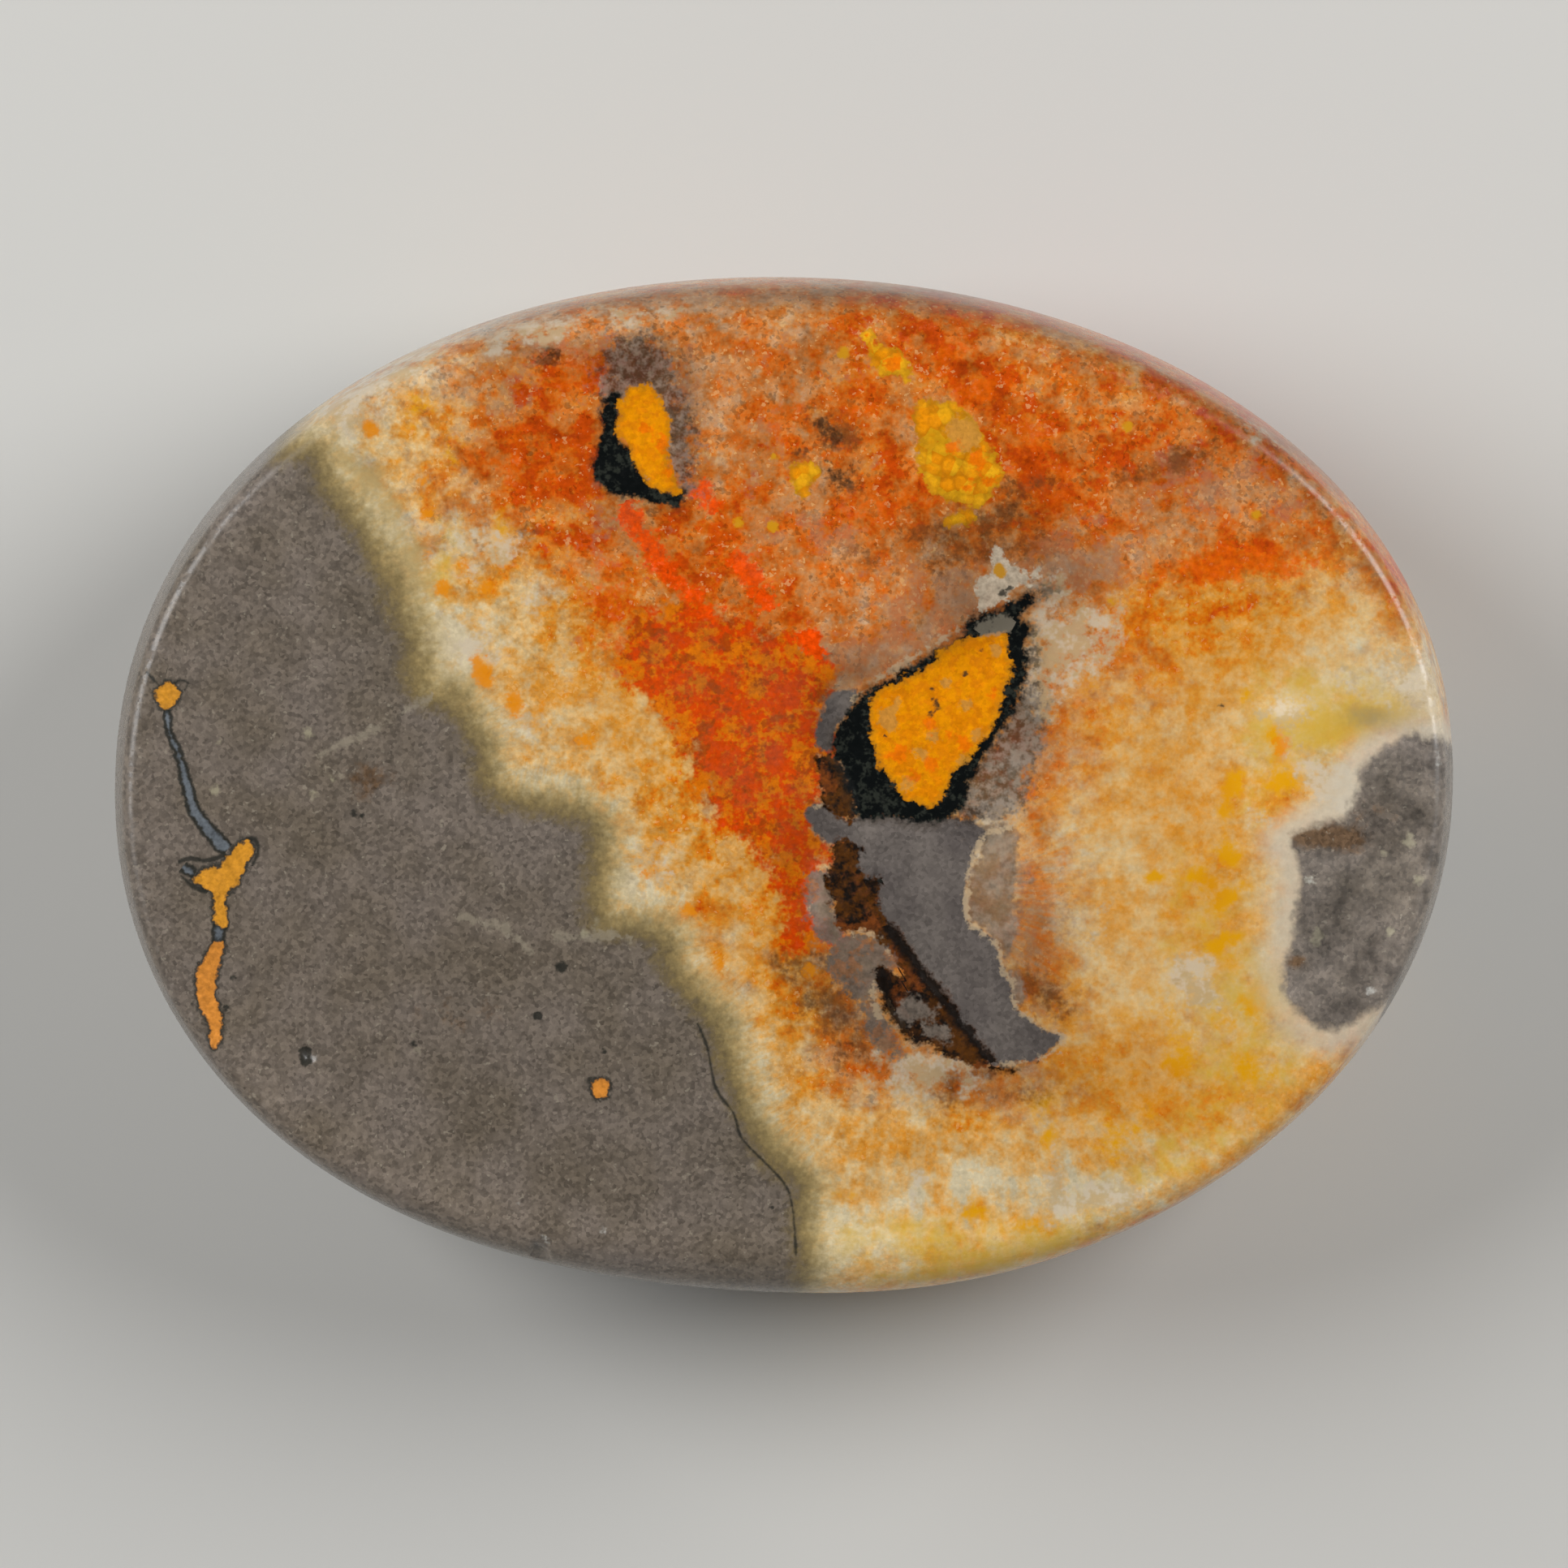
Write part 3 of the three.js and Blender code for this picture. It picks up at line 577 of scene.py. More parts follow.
BAND_GREY = (140, 127, 111)
BAND_BROWN = (126, 104, 84)
CREAM_RIM = (196, 172, 138)
STREAK_BLACK = (20, 11, 5)
STREAK_BROWN = (80, 44, 6)
STREAK_RUST = (116, 58, 16)
HALO_BLACK = (12, 15, 15)
HALO_GREEN = (44, 47, 41)
INCLUSION_YELLOW = (232, 144, 3)
INCLUSION_DEEP = (214, 118, 2)
INCLUSION_TAN = (200, 138, 56)
INCLUSION_ORANGE = (234, 112, 3)
INCLUSION_RIM = (176, 120, 22)
OLD_GOLD_PALE = (226, 162, 22)
OLD_GOLD_DEEP = (222, 136, 8)
VEIN_GOLD = (208, 142, 42)
VEIN_TAN = (206, 132, 52)
SLATE = (102, 108, 114)
VEIN_DARK = (34, 36, 32)
PALE_VEIN = (150, 140, 122)
DOT_YELLOW = (206, 144, 22)

# Light and floor. The lamps stand at these angles round the stone, turned from +X towards +Y.
LAMPS = [
    {"name": "left", "azimuth": 160, "elevation": 40, "half_angle": 17, "radiance": 8.2},
    {"name": "right", "azimuth": 26, "elevation": 40, "half_angle": 17, "radiance": 8.2},
]
LAMP_DISTANCE = 0.45
CAMERA_REACH = (0.01, 50)
FLOOR_HALF = 6.0
FLOOR_COLOUR = (205, 204, 200)
FLOOR_ROUGHNESS = 0.9
HORIZON_GLOW = 0.55
ZENITH_GLOW = 0.015
GLOW_FALLS_OVER = (0.1, 0.55)  # these heights of the direction in which one looks
FAR_SIDE_GLOW = 0.2  # the share of the glow that is left beyond the stone's upper long side
FAR_SIDE_BEGINS_OVER = (-0.6, 1.0)  # and these of its Y

# The edge of the face is worn in places: so deep, in millimetres, under the face's own edge.
ARRIS_DEPTH = 0.1

# The roughness of the polish, what the grey rock and the crumbly streak add to it, and its relief.
POLISH_ROUGHNESS = 0.21
GREY_ROUGHER = 0.05
CRUMBLY_ROUGHER = 0.12
RELIEF_SIZE = 0.5  # in millimetres
RELIEF_HEIGHT = 0.012 * MM
RELIEF_STRENGTH = 0.6


def turned(degrees):
    """A unit vector in the plan."""
    return np.array((math.cos(math.radians(degrees)), math.sin(math.radians(degrees))))


# The section of the stone.

def outline_radius(angle):
    """The distance from the middle to the girdle in one direction."""
    along = np.abs(np.cos(angle) / HALF_LENGTH) ** OUTLINE_POWER
    across = np.abs(np.sin(angle) / HALF_WIDTH) ** OUTLINE_POWER
    radius = (along + across) ** (-1 / OUTLINE_POWER)
    for lobes, peak, rise in HAND_GROUND_SWELLS:
        radius = radius + rise * np.cos(lobes * (angle - math.radians(peak)))
    return radius


def top_inset(angle):
    return TOP_INSET + TOP_INSET_LEAN * np.sin(angle)


def top_edge(angle):
    return TOP_EDGE_CRISP + (TOP_EDGE_SOFT - TOP_EDGE_CRISP) * np.sin(angle) ** 4


def base_inset(angle):
    return np.full_like(angle, BASE_INSET)


def base_edge(angle):
    return np.full_like(angle, BASE_EDGE)


def crossing(first, first_way, second, second_way):
    """Where two lines cross, each given by a point and a direction."""
    def cross(one, other):
        return one[0] * other[1] - one[1] * other[0]

    return first + first_way * cross(second - first, second_way) / cross(first_way, second_way)


class Half:
    """The upper or the lower half of the section, as points (radius, height) for many directions."""

    def __init__(self, middle_height, rise, flat_share, inset, edge):
        self.middle_height = middle_height
        self.rise = rise
        self.flat_share = flat_share
        self.inset = inset
        self.edge = edge
        self.side_height = middle_height + rise - GIRDLE_HEIGHT

    def corner(self, angle):
        return outline_radius(angle) - self.inset(angle)

    def face_end(self, angle):
        return 1 - self.edge(angle) / self.corner(angle)

    def side_end(self, angle):
        return 1 - self.edge(angle) / abs(self.side_height)

    def face(self, angle, reach):
        """A point of the face and the face's direction there."""
        corner = self.corner(angle)
        share = np.maximum(0, (reach - self.flat_share) / (1 - self.flat_share))
        point = np.stack([reach * corner, self.middle_height + self.rise * share**2])
        return point, np.stack([corner, 2 * self.rise * share / (1 - self.flat_share)])

    def side(self, angle, share):
        """A point of the side and the side's direction there."""
        inset = self.inset(angle)
        share = np.broadcast_to(share, angle.shape)
        point = [outline_radius(angle) - inset * share**2, GIRDLE_HEIGHT + self.side_height * share]
        return np.stack(point), np.stack([-2 * inset * share, np.full_like(angle, self.side_height)])

    def rounded_edge(self, angle, share):
        """A point of the curve that leaves the face and meets the side without a crease."""
        face_point, face_way = self.face(angle, self.face_end(angle))
        side_point, side_way = self.side(angle, self.side_end(angle))
        meeting = crossing(face_point, face_way, side_point, side_way)
        face_handle = face_point + CIRCLE_HANDLE * (meeting - face_point)
        side_handle = side_point + CIRCLE_HANDLE * (meeting - side_point)
        left = 1 - share
        return (left**3 * face_point + 3 * left**2 * share * face_handle
                + 3 * left * share**2 * side_handle + share**3 * side_point)

    def rings(self, face_rings, side_steps):
        """The rings of points from the middle of the face to the step before the girdle."""
        outer_count = RING_POINTS * face_rings
        for ring in range(1, face_rings + 1):
            angle = ring_angles(RING_POINTS * ring)
            point, _ = self.face(angle, self.face_end(angle) * ring / face_rings)
            yield placed(angle, point)
        angle = ring_angles(outer_count)
        for step in range(1, EDGE_STEPS + 1):
            yield placed(angle, self.rounded_edge(angle, step / EDGE_STEPS))
        for step in range(side_steps - 1, 0, -1):
            point, _ = self.side(angle, self.side_end(angle) * step / side_steps)
            yield placed(angle, point)


def ring_angles(count):
    return np.arange(count) * 2 * math.pi / count


def placed(angle, point):
    """Points in space for directions and their (radius, height)."""
    return np.stack([point[0] * np.cos(angle), point[0] * np.sin(angle), point[1]], axis=1)


UPPER = Half(THICKNESS, -TOP_CROWN, 0.0, top_inset, top_edge)
LOWER = Half(0.0, BASE_CROWN, BASE_FLAT_SHARE, base_inset, base_edge)


# The fine surface.

def disc_faces(middle, rings):
    """Triangles of a disc: a middle point, then rings of 6, 12, 18 and more points."""
    faces = []
    first_outer = middle + 1
    first_inner = middle
    for ring in range(1, rings + 1):
        sector, step = np.meshgrid(np.arange(RING_POINTS), np.arange(ring), indexing="ij")
        inner_count = max(1, RING_POINTS * (ring - 1))
        outer = first_outer + sector * ring + step
        outer_next = first_outer + (sector * ring + step + 1) % (RING_POINTS * ring)
        inner = first_inner + (sector * (ring - 1) + step) % inner_count
        inner_next = first_inner + (sector * (ring - 1) + step + 1) % inner_count
        faces.append(np.stack([inner, outer, outer_next], axis=-1).reshape(-1, 3))
        faces.append(np.stack([inner, outer_next, inner_next], axis=-1)[:, :-1].reshape(-1, 3))
        first_inner = first_outer
        first_outer += RING_POINTS * ring
    return np.concatenate(faces)


def band_faces(upper, lower, count):
    """Triangles between two rings of as many points, the upper ring first."""
    here = np.arange(count)
    after = (here + 1) % count
    first = np.stack([upper + here, lower + here, lower + after], axis=1)
    second = np.stack([upper + here, lower + after, upper + after], axis=1)
    return np.concatenate([first, second])


def halving_faces(upper, lower, lower_count):
    """Triangles between a ring and the one below it, which has half as many points."""
    here = np.arange(lower_count)
    after = (here + 1) % lower_count
    even, odd, next_even = upper + 2 * here, upper + 2 * here + 1, upper + 2 * after
    return np.concatenate([
        np.stack([even, lower + here, odd], axis=1),
        np.stack([odd, lower + here, lower + after], axis=1),
        np.stack([odd, lower + after, next_even], axis=1),
    ])


def hollowed(points, middle, size, turn, way):
    """Presses the points that lie in an oval hollow back to its wall, along one direction."""
    cosine, sine = turned(turn)
    axes = np.array([(cosine, sine, 0), (-sine, cosine, 0), (0, 0, 1)])
    offsets = (points - middle) @ axes.T / size
    step = axes @ np.array(way) / size
    inside = np.sum(offsets**2, axis=1) < 1
    near = offsets[inside]
    half = near @ step / (step @ step)
    travel = -half + np.sqrt(half**2 + (1 - np.sum(near**2, axis=1)) / (step @ step))
    pressed = points.copy()
    pressed[inside] += travel[:, None] * np.array(way)
    return pressed


def with_hollows(points):
    """The surface with the small pit in its face and the chip in its edge."""
    size = np.array(PIT["size"]) * MM
    x, y = PIT["at"]
    reach = math.hypot(x, y) / UPPER.corner(np.array(math.atan2(y, x)))
    surface = THICKNESS - TOP_CROWN * reach**2
    points = hollowed(points, (x, y, surface + size[2] - PIT["depth"]), size, PIT["turn"], (0, 0, -1))

    size = np.array(CHIP["size"]) * MM
    way = turned(CHIP["angle"])
    angle = np.array(math.radians(CHIP["angle"]))
    radius = outline_radius(angle) - CHIP["inset"] + size[1] - CHIP["depth"]
    middle = (*(radius * way), THICKNESS - TOP_CROWN - CHIP["drop"])
    return hollowed(points, middle, size, CHIP["turn"], (-way[0], -way[1], 0))


def stone_surface():
    """The points, the triangles and how many of the triangles belong to the upper half."""
    upper = list(UPPER.rings(TOP_RINGS, UPPER_SIDE_STEPS))
    girdle_angle = ring_angles(RING_POINTS * TOP_RINGS)
    upper.append(placed(girdle_angle, UPPER.side(girdle_angle, 0)[0]))
    lower = list(LOWER.rings(BASE_RINGS, LOWER_SIDE_STEPS))
    points = np.concatenate([[(0, 0, THICKNESS)], *upper, [(0, 0, 0)], *lower])

    upper_count = RING_POINTS * TOP_RINGS
    lower_count = RING_POINTS * BASE_RINGS
    starts = np.cumsum([1] + [len(ring) for ring in upper])
    base = int(starts[-1])
    base_starts = base + np.cumsum([1] + [len(ring) for ring in lower])
    faces = [disc_faces(0, TOP_RINGS)]
    for above, below in zip(starts[TOP_RINGS - 1:-2], starts[TOP_RINGS:-1]):
        faces.append(band_faces(above, below, upper_count))
    upper_faces = sum(len(part) for part in faces)
    faces.append(halving_faces(starts[-2], base_starts[-2], lower_count))
    for below, above in zip(base_starts[BASE_RINGS - 1:-2], base_starts[BASE_RINGS:-1]):
        faces.append(band_faces(above, below, lower_count))
    faces.append(disc_faces(base, BASE_RINGS)[:, ::-1])
    return with_hollows(points), np.concatenate(faces), upper_faces


def on_node(points):
    """The points moved so that their box is centred on the node's box and stands on its foot."""
    lowest, highest = (np.array(corner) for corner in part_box(NODE))
    foot = np.array([*(lowest + highest)[:2] / 2, lowest[2]])
    own_low, own_high = points.min(axis=0), points.max(axis=0)
    own_foot = np.array([*(own_low + own_high)[:2] / 2, own_low[2]])
    return points + foot - own_foot


def unrolled(points, drop):
    """The plan of the points, with the side spread outwards by how far it drops from the face."""
    plan = points[:, :2]
    radius = np.maximum(np.linalg.norm(plan, axis=1), MM)
    return plan * (1 + MAP_SIDE_SPREAD * np.maximum(0, drop) / radius)[:, None]


def surface_map(points, faces, upper_faces):
    """Map coordinates for every corner of every triangle, the upper half over the lower one."""
    upper = unrolled(points, THICKNESS - TOP_CROWN - points[:, 2])
    lower = unrolled(points, points[:, 2] - BASE_CROWN) * (1, -1)
    half = np.abs(upper[faces[:upper_faces]]).reshape(-1, 2).max(axis=0)
    height = 2 * half[1] * (1 + MAP_BASE_SHARE)
    scale = (1 - 3 * MAP_MARGIN) / height
    base_half = half * MAP_BASE_SHARE
    upper_middle = (0.5, 1 - MAP_MARGIN - half[1] * scale)
    lower_middle = (0.5, MAP_MARGIN + base_half[1] * scale)
    corners = np.empty((len(faces), 3, 2))
    corners[:upper_faces] = upper[faces[:upper_faces]] * scale + upper_middle
    corners[upper_faces:] = lower[faces[upper_faces:]] * scale * MAP_BASE_SHARE + lower_middle
    return corners


# Where the markings lie.

def on_face(pixels):
    """Pixels of the photograph as millimetres on the level of the face."""
    return (np.array(pixels, dtype=float) - PHOTO_MIDDLE) * (FACE_MM_PER_PIXEL, -FACE_MM_PER_PIXEL)


def seen_on_face(points):
    """Where the camera's view of each point meets the level of the face, in millimetres."""
    share = (CAMERA_HEIGHT - THICKNESS) / (CAMERA_HEIGHT - points[:, 2])
    return points[:, :2] * share[:, None] / MM


def wandered(across, reach, wave, start, lean):
    return reach * np.sin(across / wave + start) + lean


def drifted(places, depth):
    """The markings change their place a little as they go down through the stone."""
    x, y = places.T
    shift = np.stack([wandered(y, **WANDER_ALONG_X), wandered(x, **WANDER_ALONG_Y)], axis=1)
    return places + shift * depth[:, None]


def curved(pixels, closed):
    """A smooth curve through pixels of the photograph, as millimetres on the face."""
    points = on_face(pixels)
    if closed:
        before, after, beyond = np.roll(points, 1, 0), np.roll(points, -1, 0), np.roll(points, -2, 0)
        here = points
    else:
        padded = np.concatenate([points[:1], points, points[-1:]])
        before, here, after, beyond = padded[:-3], padded[1:-2], padded[2:-1], padded[3:]
    steps = []
    for share in np.arange(CURVE_STEPS) / CURVE_STEPS:
        steps.append(0.5 * (2 * here + (after - before) * share
                            + (2 * before - 5 * here + 4 * after - beyond) * share**2
                            + (3 * here - before - 3 * after + beyond) * share**3))
    curve = np.stack(steps, axis=1).reshape(-1, 2)
    return np.concatenate([curve, curve[:1] if closed else points[-1:]])


def near(places, line):
    """Which places lie no further than FAR from the box round a line."""
    return np.all((places > line.min(axis=0) - FAR) & (places < line.max(axis=0) + FAR), axis=1)


def measured(places, line):
    """For each place: how far it is from a line, on which side, and how far along the line."""
    distance = np.full(len(places), np.inf)
    side = np.ones(len(places))
    along = np.zeros(len(places))
    run = 0.0
    for start, end in zip(line[:-1], line[1:]):
        step = end - start
        length = np.hypot(*step)
        offset = places - start
        share = np.clip(offset @ step / length**2, 0, 1)
        away = np.linalg.norm(offset - share[:, None] * step, axis=1)
        nearer = away < distance
        distance[nearer] = away[nearer]
        side[nearer] = np.sign(step[0] * offset[nearer, 1] - step[1] * offset[nearer, 0])
        along[nearer] = run + share[nearer] * length
        run += length
    return distance, side, along


def within(places, loop):
    """Which places lie inside a closed loop."""
    inside = np.zeros(len(places), dtype=bool)
    x, y = places.T
    for (x0, y0), (x1, y1) in zip(loop[:-1], loop[1:]):
        if y0 == y1:
            continue
        crosses = (y0 > y) != (y1 > y)
        inside ^= crosses & (x < x0 + (y - y0) * (x1 - x0) / (y1 - y0))
    return inside


def depth_inside(places, loops):
    """How far inside any of the loops each place lies. It is negative outside."""
    depth = np.full(len(places), -FAR)
    for pixels in loops:
        loop = curved(pixels, closed=True)
        close = near(places, loop)
        distance, _, _ = measured(places[close], loop)
        own = np.where(within(places[close], loop), distance, -distance)
        depth[close] = np.maximum(depth[close], own)
    return np.clip(depth, -FAR, FAR)


def depth_in_spots(places, spots):
    """How far inside any of the round spots each place lies."""
    depth = np.full(len(places), -FAR)
    for x, y, radius in spots:
        away = np.linalg.norm(places - on_face((x, y)), axis=1)
        depth = np.maximum(depth, radius * FACE_MM_PER_PIXEL - away)
    return depth


def lines(places, drawn):
    """How far to the side of the nearest line each place lies, and how wide the line is there."""
    nearest = np.full(len(places), FAR)
    sideways = np.full(len(places), FAR)
    half_width = np.full(len(places), -FAR)
    for item in drawn:
        line = curved(item["line"], closed=False)
        close = np.flatnonzero(near(places, line))
        distance, side, along = measured(places[close], line)
        length = np.linalg.norm(np.diff(line, axis=0), axis=1).sum()
        share = along / length
        half = item["half"] + share * (item.get("end_half", item["half"]) - item["half"])
        half = half * FACE_MM_PER_PIXEL
        ends = np.minimum(along, length - along)
        half = half * np.clip(ends / (2 * half) + LINE_CAP, 0, 1)
        half[(ends < LINE_END) | (distance > LINE_REACH)] = -FAR
        better = distance < nearest[close]
        chosen = close[better]
        nearest[chosen] = distance[better]
        sideways[chosen] = (distance * side)[better]
        half_width[chosen] = half[better]
    return sideways, half_width


def patch_shares(places, patches):
    """For each soft patch: its strength and its share at each place, a half at its half-size."""
    for x, y, half_length, half_width, turn, strength in patches:
        along, across = turned(turn), turned(turn + 90)
        offset = places - on_face((x, y))
        reach = np.array([half_length, half_width]) * FACE_MM_PER_PIXEL
        squares = (offset @ along / reach[0]) ** 2 + (offset @ across / reach[1]) ** 2
        yield strength, 0.5**squares


def summed(places, patches):
    return sum(strength * share for strength, share in patch_shares(places, patches))


def joined(places, patches):
    """The patches as one weight from 0 to 1, however many of them overlap."""
    left = np.ones(len(places))
    for strength, share in patch_shares(places, patches):
        left *= 1 - strength * share
    return 1 - left


def inclusion_places(points, places):
    """Where a point lies among the inclusions, and how deep it lies under the nearer face."""
    lower = points[:, 2] < GIRDLE_HEIGHT
    cosine, sine = turned(BASE_INCLUSION_TURN)
    turned_places = places @ np.array([(cosine, -sine), (sine, cosine)])
    under_top = np.maximum(0, THICKNESS - TOP_CROWN - points[:, 2]) / MM
    over_base = np.maximum(0, points[:, 2] - BASE_CROWN) / MM
    return np.where(lower[:, None], turned_places, places), np.where(lower, over_base, under_top)


def rock_markings(points):
    """The calcite, the grey ends and the flame, which go on down through the stone."""
    below_edge = (THICKNESS - TOP_CROWN - points[:, 2]) / MM
    depth = np.maximum(0, below_edge)
    places = drifted(seen_on_face(points), depth)
    _, _, seam_run = measured(places, curved(GREY_SEAM, closed=False))
    rays = places - on_face(RAY_MIDDLE)
    marks = {
        "arris": 0.5 ** (below_edge / ARRIS_DEPTH - 1) ** 2,
        "grey_left": depth_inside(places, [GREY_SEAM + GREY_SEAM_OUTSIDE]),
        "seam_run": seam_run,
        "grey_right": depth_inside(places, [GREY_RIGHT]),
        "tongue": depth_inside(places, [FLAME]) - FLAME_NARROWING * depth,
        "iron": CALCITE_IRON + summed(places, IRON_PATCHES),
        "golden": CALCITE_GOLD + summed(places, GOLDEN_PATCHES),
        # painted light along the lower edge, painted shade along the upper edge, and the stone's own tone
        # elsewhere
        "tone_and_painted_light": summed(places, TONE_AND_PAINTED_LIGHT_PATCHES),
        "ray_turn": np.arctan2(rays[:, 1], rays[:, 0]) * RAY_WIDTH_RADIUS,
        "ray_reach": np.linalg.norm(rays, axis=1),
    }
    for name, patches in (("calm", CALM_PATCHES), ("hot", HOT_PATCHES), ("mauve", MAUVE_PATCHES),
                          ("umber", UMBER_PATCHES), ("milk", MILK_PATCHES), ("smoke", SMOKE_PATCHES),
                          ("lemon", LEMON_PATCHES), ("gold", GOLD_PATCHES), ("stain", STAIN_PATCHES),
                          ("khaki", KHAKI_PATCHES), ("rays", RAY_PATCHES)):
        marks[name] = joined(places, patches)
    return marks


def inclusion_markings(points):
    """The core, the inclusions, the veins and the spots, which taper off under the face."""
    places, depth = inclusion_places(points, seen_on_face(points))
    fade = INCLUSION_NARROWING * depth
    marks = {}
    for name, loops in (("core", CORE), ("small_greys", SMALL_GREYS), ("pockets", POCKETS),
                        ("clear_band", [CLEAR_BAND]), ("streak", STREAK), ("dusk", DUSK),
                        ("halo", HALO), ("yellow", YELLOW), ("old_gold", OLD_GOLD), ("white", WHITE),
                        ("vein_yellow", VEIN_YELLOW), ("vein_orange", VEIN_ORANGE)):
        marks[name] = depth_inside(places, loops) - fade
    for name, spots in (("pits", PITS), ("tan_spots", TAN_SPOTS), ("orange_spots", ORANGE_SPOTS),
                        ("yellow_dots", YELLOW_DOTS), ("red_spots", RED_SPOTS), ("drips", DRIPS),
                        ("pale_specks", PALE_SPECKS), ("bruises", BRUISES)):
        marks[name] = depth_in_spots(places, spots) - fade
    for name, drawn in (("red", RED_STREAKS), ("slate", SLATE_LINES), ("dark", DARK_LINES),
                        ("pale", PALE_LINES), ("cream", CREAM_LINES), ("black", BLACK_BANDS),
                        ("rust", RUST_BANDS)):
        sideways, half_width = lines(places, drawn)
        marks[name + "_side"] = sideways
        marks[name + "_half"] = half_width - fade
    return marks


def markings(points):
    """Every marking as a value for each point of the surface."""
    return {**rock_markings(points), **inclusion_markings(points)}


# The material.

def linear(colour):
    """A colour of the photograph as the linear light values that a shader takes."""
    shares = np.array(colour) / 255
    bright = ((shares + 0.055) / 1.055) ** 2.4
    return (*np.where(shares <= 0.04045, shares / 12.92, bright), 1.0)


class Signal:
    """A number that the material's nodes work out. It adds and multiplies like a plain one."""

    def __init__(self, tree, socket):
        self.tree = tree
        self.socket = socket

    def worked_out(self, operation, *others):
        node = self.tree.nodes.new("ShaderNodeMath")
        node.operation = operation
        for socket, value in zip(node.inputs, (self, *others)):
            plug(self.tree, socket, value)
        return Signal(self.tree, node.outputs[0])

    def __add__(self, other):
        return self.worked_out("ADD", other)

    def __sub__(self, other):
        return self.worked_out("SUBTRACT", other)

    def __mul__(self, other):
        return self.worked_out("MULTIPLY", other)

    def __neg__(self):
        return self.worked_out("MULTIPLY", -1.0)

    def __rsub__(self, other):
        return -self + other

    __radd__ = __add__
    __rmul__ = __mul__

    def at_least(self, other):
        return self.worked_out("MAXIMUM", other)

    def at_most(self, other):
        return self.worked_out("MINIMUM", other)

    def size(self):
        return self.worked_out("ABSOLUTE")

    def rising(self, low, high):
        """Rises smoothly from 0 at low to 1 at high."""
        node = self.tree.nodes.new("ShaderNodeMapRange")
        node.interpolation_type = "SMOOTHSTEP"
        plug(self.tree, node.inputs["Value"], self)
        plug(self.tree, node.inputs["From Min"], low)
        plug(self.tree, node.inputs["From Max"], high)
        return Signal(self.tree, node.outputs["Result"])


def plug(tree, socket, value):
    """Sets a socket to a plain value, or links it to what a node works out."""
    if isinstance(value, Signal):
        tree.links.new(value.socket, socket)
    elif isinstance(value, bpy.types.NodeSocket):
        tree.links.new(value, socket)
    else:
        socket.default_value = value


